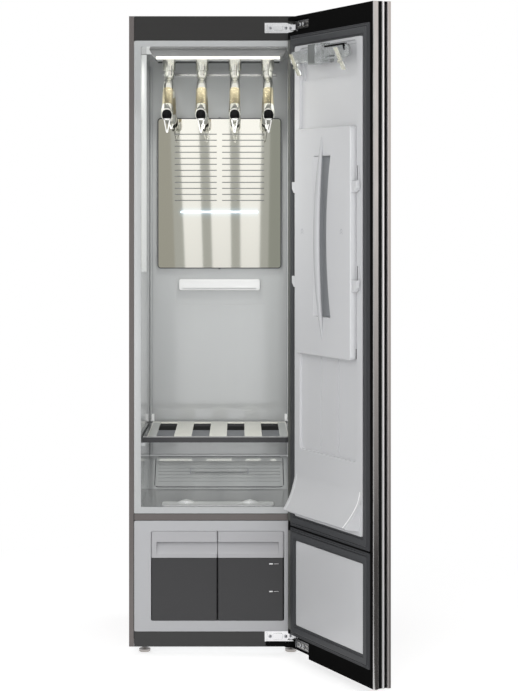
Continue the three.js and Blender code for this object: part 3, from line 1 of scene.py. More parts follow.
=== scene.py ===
import math

import bmesh
import bpy
from mathutils import Matrix, Vector


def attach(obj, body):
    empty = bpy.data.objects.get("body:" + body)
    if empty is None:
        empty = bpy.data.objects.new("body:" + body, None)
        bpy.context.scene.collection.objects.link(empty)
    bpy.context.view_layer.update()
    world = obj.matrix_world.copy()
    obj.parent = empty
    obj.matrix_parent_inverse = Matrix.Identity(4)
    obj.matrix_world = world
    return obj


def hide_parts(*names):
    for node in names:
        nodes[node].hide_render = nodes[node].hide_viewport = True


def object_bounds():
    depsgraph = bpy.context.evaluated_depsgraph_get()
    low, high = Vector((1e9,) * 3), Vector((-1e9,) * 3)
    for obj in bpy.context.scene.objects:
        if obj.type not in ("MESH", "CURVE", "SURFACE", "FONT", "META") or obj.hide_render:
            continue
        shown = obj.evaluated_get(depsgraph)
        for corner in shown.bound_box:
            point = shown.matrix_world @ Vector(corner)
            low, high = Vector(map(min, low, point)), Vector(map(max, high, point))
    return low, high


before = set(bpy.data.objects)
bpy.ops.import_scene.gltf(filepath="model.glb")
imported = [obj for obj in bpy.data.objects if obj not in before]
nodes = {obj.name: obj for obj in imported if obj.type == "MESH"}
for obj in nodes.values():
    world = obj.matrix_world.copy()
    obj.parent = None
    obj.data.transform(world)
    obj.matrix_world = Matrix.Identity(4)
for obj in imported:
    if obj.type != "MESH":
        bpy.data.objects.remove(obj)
cadLow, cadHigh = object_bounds()
mm = 0.001
print("frame loaded:", len(nodes), "solids")

scene = bpy.context.scene
scene.view_settings.view_transform = "Standard"

# The camera stands level with the upper third of the cabinet, a little right of its middle.
viewpoint = {"place": (66.9, -5845, 1293), "lens": 98.99, "shift": (0.0269, -0.2019), "reach": 60}
cameraData = bpy.data.cameras.new("studioCamera")
cameraData.lens = viewpoint["lens"]
cameraData.shift_x, cameraData.shift_y = viewpoint["shift"]
cameraData.clip_end = viewpoint["reach"]
camera = bpy.data.objects.new("studioCamera", cameraData)
camera.location = Vector(viewpoint["place"]) * mm
camera.rotation_euler = (math.radians(90), 0, 0)
scene.collection.objects.link(camera)
scene.camera = camera


# Short names for what is done over and over in a node tree.
def place(tree, kind, **values):
    made = tree.nodes.new(kind)
    for key, value in values.items():
        setattr(made, key, value)
    return made


def join(tree, source, target):
    tree.links.new(source, target)


def feed(tree, value, socket):
    if hasattr(value, "is_output"):
        join(tree, value, socket)
    elif value is not None:
        socket.default_value = value


def maths(tree, operation, first, second=None, third=None, clamp=False):
    made = place(tree, "ShaderNodeMath", operation=operation, use_clamp=clamp)
    for socket, value in zip(made.inputs, (first, second, third)):
        feed(tree, value, socket)
    return made.outputs[0]


def scaleVector(tree, vector, factor):
    made = place(tree, "ShaderNodeVectorMath", operation="SCALE")
    feed(tree, vector, made.inputs[0])
    feed(tree, factor, made.inputs["Scale"])
    return made.outputs[0]


def noise(tree, at, scale, detail=2):
    made = place(tree, "ShaderNodeTexNoise")
    made.inputs["Detail"].default_value = detail
    join(tree, at, made.inputs["Vector"])
    feed(tree, scale, made.inputs["Scale"])
    return made.outputs["Fac"]


# Swings a noise about zero, as wide as the amount.
def swing(tree, fac, amount):
    return maths(tree, "MULTIPLY", maths(tree, "SUBTRACT", fac, 0.5), amount)


def ownPlace(tree):
    return place(tree, "ShaderNodeTexCoord").outputs["Object"]


def newGroup(name, inputs, outputs):
    group = bpy.data.node_groups.new(name, "ShaderNodeTree")
    for label, kind, value in inputs:
        socket = group.interface.new_socket(name=label, in_out="INPUT", socket_type="NodeSocket" + kind)
        socket.default_value = value
    for label, kind in outputs:
        group.interface.new_socket(name=label, in_out="OUTPUT", socket_type="NodeSocket" + kind)
    return group, place(group, "NodeGroupInput").outputs, place(group, "NodeGroupOutput").inputs


# The colour gets lighter and darker with the tone, and the gloss follows it. The relief is a noise.
def giveOut(tree, given, out, tone, glossShare, relief):
    join(tree, scaleVector(tree, given["Colour"], maths(tree, "ADD", tone, 1)), out["Colour"])
    gloss = maths(tree, "MULTIPLY_ADD", tone, glossShare, given["Roughness"], clamp=True)
    join(tree, gloss, out["Roughness"])
    join(tree, relief, out["Height"])


surfaceSockets = [("Colour", "Color"), ("Roughness", "Float"), ("Height", "Float")]

# Moulded plastic: a very fine leathery grain, and faint clouds in its colour and gloss.
moulded = {"cloudDetail": 3, "glossShare": 1.2, "reliefDepth": 0.0001}
mouldedGrain, given, out = newGroup("mouldedGrain", [
    ("Colour", "Color", (0.5, 0.5, 0.5, 1)), ("Cloud", "Float", 0.04), ("Roughness", "Float", 0.35),
    ("Grain Scale", "Float", 900), ("Cloud Scale", "Float", 5)], surfaceSockets)
at = ownPlace(mouldedGrain)
clouds = noise(mouldedGrain, at, given["Cloud Scale"], moulded["cloudDetail"])
tone = swing(mouldedGrain, clouds, given["Cloud"])
giveOut(mouldedGrain, given, out, tone, moulded["glossShare"], noise(mouldedGrain, at, given["Grain Scale"]))

# Rolled or brushed metal: long fine scratches along one axis, and slow waves of tone.
rolled = {"streakDetail": 4, "waveScale": 4, "glossShare": 0.8, "reliefDepth": 0.00005}
rolledGrain, given, out = newGroup("rolledGrain", [
    ("Colour", "Color", (0.5, 0.5, 0.5, 1)), ("Streak", "Float", 0.12), ("Roughness", "Float", 0.3),
    ("Stretch", "Vector", (400, 400, 4)), ("Wave", "Float", 0.05)], surfaceSockets)
at = ownPlace(rolledGrain)
drawn = place(rolledGrain, "ShaderNodeVectorMath", operation="MULTIPLY")
join(rolledGrain, at, drawn.inputs[0])
join(rolledGrain, given["Stretch"], drawn.inputs[1])
streaks = noise(rolledGrain, drawn.outputs[0], 1, rolled["streakDetail"])
streakTone = swing(rolledGrain, streaks, given["Streak"])
waveTone = swing(rolledGrain, noise(rolledGrain, at, rolled["waveScale"]), given["Wave"])
tone = maths(rolledGrain, "ADD", streakTone, waveTone)
giveOut(rolledGrain, given, out, tone, rolled["glossShare"], streaks)

finishes = {}


# A material is one Principled shader, fed by one of the groups above.
def finish(name, group, effectValues, shaderValues, reliefStrength, reliefDepth):
    made = bpy.data.materials.new(name)
    made.use_nodes = True
    tree = made.node_tree
    tree.nodes.clear()
    output = place(tree, "ShaderNodeOutputMaterial")
    surface = place(tree, "ShaderNodeBsdfPrincipled")
    join(tree, surface.outputs["BSDF"], output.inputs["Surface"])
    effect = place(tree, "ShaderNodeGroup", node_tree=group)
    for key, value in effectValues.items():
        effect.inputs[key].default_value = value
    join(tree, effect.outputs["Colour"], surface.inputs["Base Color"])
    join(tree, effect.outputs["Roughness"], surface.inputs["Roughness"])
    for key, value in shaderValues.items():
        surface.inputs[key].default_value = value
    if reliefStrength:
        bump = place(tree, "ShaderNodeBump")
        bump.inputs["Strength"].default_value = reliefStrength
        bump.inputs["Distance"].default_value = reliefDepth
        join(tree, effect.outputs["Height"], bump.inputs["Height"])
        join(tree, bump.outputs["Normal"], surface.inputs["Normal"])
    finishes[name] = made
    return surface


def plastic(name, colour, roughness, cloud=0.04, specular=0.5, clear=0, grainScale=900, grain=0.08):
    effect = {"Colour": (*colour, 1), "Roughness": roughness, "Cloud": cloud, "Grain Scale": grainScale}
    shader = {"IOR": 1.5, "Specular IOR Level": specular, "Transmission Weight": clear}
    return finish(name, mouldedGrain, effect, shader, grain, moulded["reliefDepth"])


def metal(name, colour, roughness, metallic=1.0, streak=0.1, stretch=(400, 400, 4), wave=0.05, grain=0.05):
    effect = {"Colour": (*colour, 1), "Roughness": roughness, "Streak": streak, "Stretch": stretch,
              "Wave": wave}
    return finish(name, rolledGrain, effect, {"Metallic": metallic}, grain, rolled["reliefDepth"])


def glow(name, colour, strength, roughness=0.4):
    surface = plastic(name, colour, roughness)
    surface.inputs["Emission Color"].default_value = (*colour, 1)
    surface.inputs["Emission Strength"].default_value = strength


metal("caseSteel", (0.165, 0.15, 0.146), 0.3, 0.85, 0.06, (500, 500, 5))
metal("doorSteel", (0.53, 0.51, 0.505), 0.42, 0.25, 0.06, (500, 500, 5))
metal("zincSheet", (0.55, 0.56, 0.57), 0.42, streak=0.08, wave=0.15)
metal("footSteel", (0.43, 0.405, 0.39), 0.2, stretch=(60, 60, 900))
metal("edgeTrim", (0.50, 0.495, 0.49), 0.2, streak=0.3, stretch=(180, 180, 14), wave=0.1)
metal("gripChrome", (0.68, 0.675, 0.675), 0.3, 0.35, 0.08)
metal("bronzeEdge", (0.42, 0.395, 0.38), 0.3, 0.75, 0.08)
metal("linerGloss", (0.49, 0.50, 0.505), 0.085, 0.22, 0.03, (40, 40, 2), 0.04, 0)
metal("mirrorGlass", (0.955, 0.94, 0.875), 0.022, 1, 0.02, (3, 3, 2200), 0.01, 0)
# Dark rims, and the shade painted under the hood's rear edge.
metal("rimDark", (0.10, 0.105, 0.11), 0.25, 0.6)
metal("brushedSteel", (0.74, 0.735, 0.68), 0.16, 1, 0.06, (300, 300, 6), grain=0.01)
metal("pearlSkin", (0.78, 0.775, 0.72), 0.14, 1, 0.02, (60, 6, 6), grain=0)
metal("champagneSkin", (0.36, 0.315, 0.21), 0.26, 0.85, 0.05, (300, 6, 6), grain=0)
metal("wingWhite", (0.93, 0.93, 0.90), 0.16, 0.2, grain=0)
metal("polishedChrome", (0.78, 0.78, 0.79), 0.12, streak=0.06, wave=0.04)
metal("clipCream", (0.80, 0.785, 0.68), 0.2, 0.7, 0.05)
metal("finAluminium", (0.6, 0.62, 0.64), 0.35, stretch=(40, 900, 40))
metal("screwZinc", (0.50, 0.51, 0.53), 0.28)
metal("leafSteel", (0.16, 0.16, 0.165), 0.22)
metal("linkSteel", (0.40, 0.39, 0.37), 0.16, wave=0.08)
plastic("fasciaPlastic", (0.016, 0.0155, 0.015), 0.3, 0.12, 0.38)
plastic("plinthPlastic", (0.034, 0.034, 0.034), 0.35, 0.1, 0.4)
plastic("hoodGrey", (0.26, 0.264, 0.262), 0.22, 0.05)
plastic("frameGrey", (0.46, 0.465, 0.48), 0.3, 0.03)
plastic("innerDoorPlastic", (0.63, 0.635, 0.65), 0.26, 0.03)
# Grey for seams, and for shade painted into the press plate's recess and under the shelf.
plastic("seamAndPaintedShadeGrey", (0.25, 0.26, 0.275), 0.3, 0.06)
# The bow's plastic: a darker copy of the door plastic, painted shade on a face that catches more light.
plastic("bowPaintedShade", (0.52, 0.525, 0.54), 0.2, 0.03)
plastic("marginPlastic", (0.085, 0.088, 0.082), 0.22, 0.1)
plastic("markGrey", (0.28, 0.29, 0.32), 0.4)
# Black plastic, and the shadow painted at the trouser hanger's tail.
plastic("blackPlastic", (0.007, 0.007, 0.007), 0.45, 0.2, 0)
plastic("gasketRubber", (0.045, 0.047, 0.051), 0.5, 0.15, 0.3, grainScale=1400, grain=0.15)
# Grey for the backs of the hangers' wings, painted shade.
plastic("wingPaintedShade", (0.30, 0.30, 0.285), 0.5)
plastic("whitePlastic", (0.86, 0.86, 0.865), 0.3)
plastic("ventWhite", (0.72, 0.72, 0.725), 0.3)
plastic("sillPlastic", (0.62, 0.63, 0.63), 0.32)
# A darker copy of the sill plastic, painted shade on the steam sill's sides.
plastic("sillPaintedShade", (0.36, 0.37, 0.37), 0.35)
plastic("lidPlastic", (0.43, 0.43, 0.445), 0.3)
plastic("shelfCream", (0.90, 0.89, 0.80), 0.14)
plastic("shelfSide", (0.47, 0.48, 0.465), 0.25)
plastic("shelfFrameGloss", (0.022, 0.022, 0.024), 0.18)
# A pale grey for the top edge of the shelf's front bar, a painted highlight.
plastic("shelfEdgePaintedHighlight", (0.30, 0.30, 0.30), 0.2)
plastic("smokedTank", (0.036, 0.036, 0.038), 0.2, 0.05, 0.4)
plastic("clearPlastic", (0.90, 0.92, 0.92), 0.05, clear=0.8, grain=0)
plastic("smokedClear", (0.24, 0.255, 0.25), 0.12, clear=0.3)
plastic("compressorBlack", (0.02, 0.02, 0.022), 0.4, 0.2)
plastic("foamCore", (0.72, 0.68, 0.55), 0.8, 0.15, grainScale=500, grain=0.6)
# Black for shade painted into holes, recesses, slots, seams and gaps.
plastic("outletBlack", (0.012, 0.012, 0.012), 0.4, 0.1, 0.3)
glow("lampLens", (1.0, 0.99, 0.93), 0.55)
glow("mirrorGlow", (0.86, 0.97, 1.0), 1.0)

# The light strip in the mirror panel has a cool halo on the panel just round it, a painted glow that the
# panel emits itself.
halo = {"colour": (0.42, 0.72, 1, 1), "reach": 0.006, "height": 1.274, "halfWidth": 0.121, "sideFall": 1.6,
        "strength": 0.55}
tree, given, out = newGroup("stripPaintedGlow", [
    ("Colour", "Color", halo["colour"]), ("Reach", "Float", halo["reach"]),
    ("Height", "Float", halo["height"]), ("Half Width", "Float", halo["halfWidth"])], [("Colour", "Color")])
apart = place(tree, "ShaderNodeSeparateXYZ")
join(tree, ownPlace(tree), apart.inputs[0])
rise = maths(tree, "ABSOLUTE", maths(tree, "SUBTRACT", apart.outputs["Z"], given["Height"]))
beside = maths(tree, "SUBTRACT", maths(tree, "ABSOLUTE", apart.outputs["X"]), given["Half Width"])
away = maths(tree, "ADD", rise, maths(tree, "MULTIPLY", maths(tree, "MAXIMUM", beside, 0), halo["sideFall"]))
fall = maths(tree, "EXPONENT", maths(tree, "MULTIPLY", maths(tree, "DIVIDE", away, given["Reach"]), -1))
join(tree, scaleVector(tree, given["Colour"], maths(tree, "MULTIPLY", fall, halo["strength"])), out["Colour"])
mirrorTree = finishes["mirrorGlass"].node_tree
mirrorSurface = mirrorTree.nodes["Principled BSDF"]
haloShown = place(mirrorTree, "ShaderNodeGroup", node_tree=tree)
join(mirrorTree, haloShown.outputs["Colour"], mirrorSurface.inputs["Emission Color"])
mirrorSurface.inputs["Emission Strength"].default_value = 1.0
print("finishes mixed:", len(finishes))

edgeWork = {"weld": 0.00001, "flat": 0.4, "sharp": 30}


# A solid keeps its shape; its triangles are joined again and its edges get the small radius of the real part.
# Thin sheets have no radius given and stay as they are, because their faces don't join well.
def dress(names, coat, radius=None, segments=2):
    for name in names:
        solid = nodes[name]
        solid.data.materials.clear()
        solid.data.materials.append(finishes[coat])
        if radius is None:
            continue
        for attribute in ("custom_normal", "sharp_face", "sharp_edge"):
            if attribute in solid.data.attributes:
                solid.data.attributes.remove(solid.data.attributes[attribute])
        solid.data.polygons.foreach_set("use_smooth", [True] * len(solid.data.polygons))
        weld = solid.modifiers.new("weld", "WELD")
        weld.merge_threshold = edgeWork["weld"]
        flat = solid.modifiers.new("flatFaces", "DECIMATE")
        flat.decimate_type = "DISSOLVE"
        flat.angle_limit = math.radians(edgeWork["flat"])
        if radius:
            edge = solid.modifiers.new("edgeRadius", "BEVEL")
            edge.width = radius * mm
            edge.segments = segments
            edge.limit_method = "ANGLE"
            edge.angle_limit = math.radians(edgeWork["sharp"])
            edge.miter_outer = "MITER_ARC"
        solid.modifiers.new("evenNormals", "WEIGHTED_NORMAL").keep_sharp = True


dress(["side_panel_left", "side_panel_right", "divider_deck"], "caseSteel", 0.5)
dress(["door_front_panel"], "doorSteel", 0.5)
dress(["top_fascia", "top_cover", "blower_housing", "control_box"], "fasciaPlastic", 0.5)
dress(["plinth"], "plinthPlastic", 0.5)
dress(["rear_panel"], "zincSheet")
dress(["base_pan"], "zincSheet", 0.4)
dress(["foot_front_left", "foot_front_right", "foot_rear_left", "foot_rear_right"], "footSteel", 0.4)
dress(["door_edge_trim"], "edgeTrim", 0.6)
dress(["door_grip_bar"], "gripChrome", 0.6)
dress(["cavity_liner"], "linerGloss", 2.0, 3)
dress(["air_hood"], "hoodGrey", 0.8)
dress(["tank_bay"], "frameGrey", 0.8)
dress(["lint_filter"], "linerGloss")
dress(["door_liner", "door_lower_liner"], "innerDoorPlastic", 1.2, 3)
dress(["press_plate"], "innerDoorPlastic", 0.8, 3)
dress(["door_shell"], "blackPlastic", 0.8)
dress(["gasket_upper", "gasket_lower"], "gasketRubber", 1.0)
dress(["air_mirror"], "mirrorGlass")
dress(["hanger_socket_%d" % number for number in range(1, 5)], "brushedSteel", 0.6)
dress(["air_hanger_%d" % number for number in range(1, 5)], "champagneSkin", 0.5)
dress(["back_rail", "hinge_plate_top", "hinge_plate_bottom"], "polishedChrome", 0.3)
dress(["hinge_leaf_top", "hinge_leaf_bottom"], "leafSteel", 0.3)
dress(["clip_jaw_left", "clip_jaw_right"], "clipCream", 0.4)
dress(["air_vent"], "ventWhite", 0.6)
dress(["blower_wheel"], "whitePlastic", 0.6)
dress(["steam_bar"], "sillPlastic", 0.8)
dress(["supply_tank_cap", "drain_tank_cap"], "lidPlastic", 0.25)
dress(["shelf_plate"], "shelfCream")
dress(["shelf_frame"], "shelfFrameGloss", 1.0)
dress(["supply_tank", "drain_tank"], "smokedTank", 0.25)
dress(["trouser_hanger", "trouser_hook"], "clearPlastic", 0.3)
dress(["steam_generator", "heat_exchanger"], "finAluminium", 0.3)
dress(["compressor"], "compressorBlack", 1.0)
dress(["insulation"], "foamCore", 0)
dress(["light_bar"], "lampLens", 0.8)
dress(["mirror_light"], "mirrorGlow")
print("solids dressed")

meshWork = {"merge": 0.000001, "sharp": 40, "edgeSteps": 3}


# What every new piece goes through: a mesh from its points, smooth where it bends gently, with its finishes
# and its body.
def makePiece(name, bm, coats, body, replaced=(), bend=35, move=None, rounding=0.0, steps=2):
    bmesh.ops.remove_doubles(bm, verts=bm.verts, dist=meshWork["merge"])
    bmesh.ops.recalc_face_normals(bm, faces=bm.faces)
    if rounding:
        sharp = [edge for edge in bm.edges if edge.calc_face_angle(0) > math.radians(meshWork["sharp"])]
        bmesh.ops.bevel(bm, geom=sharp, offset=rounding * mm, segments=steps, profile=0.5, affect="EDGES",
                        clamp_overlap=True)
    if move:
        bm.transform(move)
    for edge in bm.edges:
        edge.smooth = edge.calc_face_angle(math.pi) < math.radians(bend)
    for face in bm.faces:
        face.smooth = True
    mesh = bpy.data.meshes.new(name)
    bm.to_mesh(mesh)
    bm.free()
    for coat in coats if isinstance(coats, list) else [coats]:
        mesh.materials.append(finishes[coat])
    piece = bpy.data.objects.new(name, mesh)
    scene.collection.objects.link(piece)
    piece.modifiers.new("evenNormals", "WEIGHTED_NORMAL").keep_sharp = True
    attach(piece, body)
    if replaced:
        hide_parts(*replaced)


# Rings of points become a skin; the ends close with a face.
def skin(bm, rings, closed=True, caps=True, material=0):
    made = [[bm.verts.new(Vector(point) * mm) for point in ring] for ring in rings]
    faces = []
    for first, second in zip(made, made[1:]):
        count = len(first)
        for i in range(count if closed else count - 1):
            faces.append(bm.faces.new((first[i], first[(i + 1) % count], second[(i + 1) % count], second[i])))
    if caps:
        faces.append(bm.faces.new(made[0][::-1]))
        faces.append(bm.faces.new(made[-1]))
    for face in faces:
        face.material_index = material
    return faces


# Points on an arc: its middle, its two radii, and its angles in degrees.
def arc(middle, radii, degrees):
    angles = [math.radians(a) for a in degrees]
    return [(middle[0] + radii[0] * math.cos(a), middle[1] + radii[1] * math.sin(a)) for a in angles]


def roundedBox(left, right, low, high, radius, steps=5):
    points = []
    for u, v, start in ((right - radius, high - radius, 0), (left + radius, high - radius, 90),
                        (left + radius, low + radius, 180), (right - radius, low + radius, 270)):
        points += arc((u, v), (radius, radius), [start + 90 * i / steps for i in range(steps + 1)])
    return points


# A rounded box whose sides move inwards, and its corners with them.
def insetBox(box, radius, inset, steps):
    left, right, low, high = box
    return roundedBox(left + inset, right - inset, low + inset, high - inset, radius - inset, steps)


# A block between two corners, for parts that get rounded edges afterwards.
def block(bm, x, y, z, material=0):
    rings = [[(x[0], y[0], h), (x[1], y[0], h), (x[1], y[1], h), (x[0], y[1], h)] for h in z]
    skin(bm, rings, material=material)


# A turned part: (radius, height) pairs about an upright axis, then moved by a matrix in millimetres.
def turned(bm, profile, move, segments):
    around = [360 * i / segments for i in range(segments)]
    skin(bm, [[move @ Vector((*point, height)) for point in arc((0, 0), (radius, radius), around)]
              for radius, height in profile])


# A flat sheet with rounded edges from its outlines, the first one outside and the others its holes.
def sheet(bm, outlines, thickness, radius, move, material=0):
    curve = bpy.data.curves.new("outline", "CURVE")
    curve.dimensions = "2D"
    curve.fill_mode = "BOTH"
    curve.extrude = (thickness / 2 - radius) * mm
    curve.bevel_depth = radius * mm
    curve.bevel_resolution = meshWork["edgeSteps"]
    curve.offset = -radius * mm
    for points in outlines:
        spline = curve.splines.new("POLY")
        spline.points.add(len(points) - 1)
        for point, (u, v) in zip(spline.points, points):
            point.co = (u * mm, v * mm, 0, 1)
        spline.use_cyclic_u = True
    holder = bpy.data.objects.new("outline", curve)
    mesh = bpy.data.meshes.new_from_object(holder)
    mesh.transform(move)
    for face in mesh.polygons:
        face.material_index = material
    bm.from_mesh(mesh)
    bpy.data.objects.remove(holder)
    bpy.data.curves.remove(curve)
    bpy.data.meshes.remove(mesh)


# Stands a flat outline (across, up) upright, its face towards the front, its middle at this depth.
def upright(depth):
    return Matrix(((1, 0, 0, 0), (0, 0, -1, depth * mm), (0, 1, 0, 0), (0, 0, 0, 1)))


# A small upright plate with round corners.
def plate(bm, box, radius, thickness, edge, depth, material=0, steps=4):
    sheet(bm, [roundedBox(*box, radius, steps)], thickness, edge, upright(depth), material)


def mirrored(side, span):
    return sorted((side * span[0], side * span[1]))


frontwards = Matrix.Rotation(math.radians(90), 4, "X")     # turns an upright axis towards the front
rearwards = Matrix.Rotation(math.radians(-90), 4, "X")
square = ((-1, -1), (1, -1), (1, 1), (-1, 1))
# The screw head's profile and cross in shares of its radius, with heights in millimetres.
pan = {"profile": [(1, -0.6), (1, 0.5), (0.93, 1.1), (0.72, 1.7), (0.4, 2.0), (0.1, 2.1)],
       "cross": (0.52, 0.1), "crossHeight": (1.2, 2.16), "round": 28}


# Pan head screws with a cross in them, the cross painted black as the shade in its recess.
def screws(name, places, turnTo, body, radius, move=None):
    bm = bmesh.new()
    for spot in places:
        spot = Matrix.Translation(spot) @ turnTo
        turned(bm, [(radius * share, height) for share, height in pan["profile"]], spot, pan["round"])
        for a, b in (pan["cross"], pan["cross"][::-1]):
            skin(bm, [[spot @ Vector((radius * a * u, radius * b * v, h)) for u, v in square]
                      for h in pan["crossHeight"]], material=1)
    makePiece(name, bm, ["screwZinc", "outletBlack"], body, move=move)


# Door pieces are drawn flat, with x along the door from its hinge edge and y away from the cavity.
doorPivot = {"hinge": (240.8, -310.1), "fromEdge": 15.2, "fromFace": 32.1, "open": 115.3}
turn = math.radians(-(180 - doorPivot["open"]))
alongDoor = Vector((math.cos(turn), math.sin(turn), 0))
throughDoor = Vector((-math.sin(turn), math.cos(turn), 0))
hinge = Vector((*doorPivot["hinge"], 0))
corner = hinge - alongDoor * doorPivot["fromEdge"] - throughDoor * doorPivot["fromFace"]
doorMatrix = Matrix.Translation(corner * mm) @ Matrix((
    (alongDoor.x, throughDoor.x, 0, 0), (alongDoor.y, throughDoor.y, 0, 0), (0, 0, 1, 0), (0, 0, 0, 1)))
print("door frame:", [round(x / mm, 1) for x in doorMatrix @ Vector((0, 0, 0))])

# Gaskets: a soft frame with a cushion, two thin outer fins and an inner lip, mitred at its corners.
gasket = {
    "outer": (22, 490), "heights": {"upper": (367, 1786), "lower": (50, 361)},
    "profile": [(0, 0), (0, 3.0), (1.8, 3.4), (2.6, 1.8), (4.0, 1.8), (4.6, 3.8), (7.2, 4.2), (8.0, 2.4),
                (9.4, 2.4), (10.2, 5.8), (12, 7.0), (14, 7.2), (25, 7.2), (27, 6.6), (28, 4.4), (29.4, 4.4),
                (30, 5.2), (32, 4.6), (33, 3.2), (33, 0)],
}
for part, (low, high) in gasket["heights"].items():
    bm = bmesh.new()
    left, right = gasket["outer"]
    skin(bm, [[(u, -proud, v) for u, v in ((left + inset, low + inset), (right - inset, low + inset),
                                           (right - inset, high - inset), (left + inset, high - inset))]
              for inset, proud in gasket["profile"]], caps=False)
    makePiece(part + "Gasket", bm, "gasketRubber", "door", ["gasket_" + part], 25,
              doorMatrix)
print("gaskets made")

# Air hangers: a neck under its collar, and two drooping arms, each with a champagne sleeve, a bulb whose
# outlet and fins are painted black as the shade inside it, and a wing whose back is painted grey as shade.
airHanger = {
    "places": (-150, -50, 50, 150), "middle": -55, "span": 172, "crown": 1668.4, "fall": 96, "droop": 2.08,
    "halfWidth": (15.4, 16.6), "halfHeight": (14, 16.2), "round": 40, "power": 2.25,
    "sleeve": (0.585, 0.925), "sleeveStep": 0.003, "sleeveInset": 0.45,
    "bareShares": (0, 0.07, 0.15, 0.24, 0.33, 0.42, 0.5), "sleeveShares": (0.66, 0.74, 0.81, 0.87),
    "neck": [(14.3, 1733.2), (14.3, 1700.9), (16.3, 1700.7), (16.9, 1700.0), (16.9, 1695.4), (16.4, 1694.4),
             (15.6, 1693.8), (15.5, 1692.6)],
    "fillet": 9, "filletRadius": 15.5, "filletSteps": 7, "sink": 0.15, "ease": 0.1, "paintedShadeFacing": 0.3,
    # How far out, how high, tilt, half width, half height and material of each ring past the arm's end.
    "tip": [(168.0, 1577.0, 39, 17.7, 18.0, 0), (174.5, 1570.4, 35, 18.1, 19.4, 0),
            (179.0, 1565.6, 32, 18.0, 20.0, 0), (181.8, 1563.0, 30, 17.2, 19.7, 0),
            (183.2, 1561.9, 29, 15.9, 18.9, 0), (183.2, 1561.8, 28, 14.6, 17.9, 0),
            (181.8, 1562.5, 28, 13.7, 17.2, 2), (169.0, 1569.3, 28, 11.6, 15.4, 2)],
    "fins": (-6.6, -2.2, 2.2, 6.6), "finThickness": 0.9, "finReach": (16, 12.5), "finDeep": (2.5, 12),
    "wing": [(-11, 1552), (11, 1552), (3.2, 1512), (1.8, 1509.6), (-1.8, 1509.6), (-3.2, 1512)],
    "wingHole": [(-6.4, 1547), (6.4, 1547), (0.9, 1518.5), (-0.9, 1518.5)], "wingDepth": 6, "wingOut": 172,
    "rearWing": [(-10.5, 1565), (10.5, 1565), (4.2, 1537), (2.6, 1534.6), (-2.6, 1534.6), (-4.2, 1537)],
    "rearHole": [(-6.2, 1560), (6.2, 1560), (1.2, 1542), (-1.2, 1542)], "wingEdge": 0.8,
}


def roundAbout():
    return [2 * math.pi * i / airHanger["round"] for i in range(airHanger["round"])]


def superRing(side, out, up, tilt, halfWidth, halfHeight):
    points = []
    sine, cosine = math.sin(math.radians(tilt)), math.cos(math.radians(tilt))
    for angle in roundAbout():
        across = math.copysign(abs(math.cos(angle)) ** (2 / airHanger["power"]), math.cos(angle)) * halfWidth
        rise = math.copysign(abs(math.sin(angle)) ** (2 / airHanger["power"]), math.sin(angle)) * halfHeight
        points.append((across, airHanger["middle"] + side * (out + sine * rise), up + cosine * rise))
    return points


def armSize(share):
    v = airHanger
    width = v["halfWidth"][0] + (v["halfWidth"][1] - v["halfWidth"][0]) * share
    height = v["halfHeight"][0] + (v["halfHeight"][1] - v["halfHeight"][0]) * share ** 2
    return width, height, v["crown"] - v["fall"] * share ** v["droop"]


def hangerArm(bm, side):
    v = airHanger
    (low, high), step = v["sleeve"], v["sleeveStep"]
    last = None
    for share, sleeve in ([(share, 0) for share in (*v["bareShares"], low - step)] + [(low + step, 1)] +
                          [(share, 1) for share in (*v["sleeveShares"], high - step)] + [(high + step, 0)]):
        width, height, z = armSize(share)
        tilt = math.degrees(math.atan(v["fall"] * v["droop"] * share ** (v["droop"] - 1) / v["span"]))
        trim = v["sleeveInset"] if sleeve else 0
        ring = superRing(side, v["span"] * share, z, tilt, width - trim, height - trim)
        if last:
            skin(bm, [last[0], ring], caps=False, material=1 if sleeve and last[1] else 0)
        last = (ring, sleeve)
    for out, z, tilt, width, height, material in v["tip"]:
        ring = superRing(side, out, z, tilt, width, height)
        skin(bm, [last[0], ring], caps=False, material=material)
        last = (ring, 0)
    bm.faces.new([bm.verts.new(Vector(point) * mm) for point in last[0]]).material_index = 2


def outletFins(bm, side):
    v = airHanger
    out, z, tilt = v["tip"][-2][:3]
    inward = Vector((0, -side * math.cos(math.radians(tilt)), math.sin(math.radians(tilt))))
    upward = Vector((0, side * math.sin(math.radians(tilt)), math.cos(math.radians(tilt))))
    mouth = Vector((0, v["middle"] + side * out, z))
    near, deep = v["finDeep"]
    for x in v["fins"]:
        reach = v["finReach"][0] * math.sqrt(1 - (x / v["finReach"][1]) ** 2)
        skin(bm, [[mouth + inward * depth + upward * rise + Vector((x + offset * v["finThickness"] / 2, 0, 0))
                   for depth, rise in ((near, -reach), (near, reach), (deep, reach), (deep, -reach))]
                  for offset in (-1, 1)], material=2)


def hangerNeck(bm):
    v = airHanger
    rings = [[(radius * math.cos(angle), v["middle"] + radius * math.sin(angle), z) for angle in roundAbout()]
             for radius, z in v["neck"]]
    for k in range(v["filletSteps"] + 1):
        bendAngle = math.radians(90 * k / v["filletSteps"])
        ring = []
        for angle in roundAbout():
            radius = v["filletRadius"] + v["fillet"] * (1 - math.cos(bendAngle)) * math.sin(angle) ** 2
            x, along = radius * math.cos(angle), radius * math.sin(angle)
            width, height, z = armSize(abs(along) / v["span"])
            crest = z + height * max(0.0, 1 - abs(x / (width + v["ease"])) ** v["power"]) ** (1 / v["power"])
            ring.append((x, v["middle"] + along, crest + v["fillet"] * (1 - math.sin(bendAngle)) - v["sink"]))
        rings.append(ring)
    skin(bm, rings, caps=False)


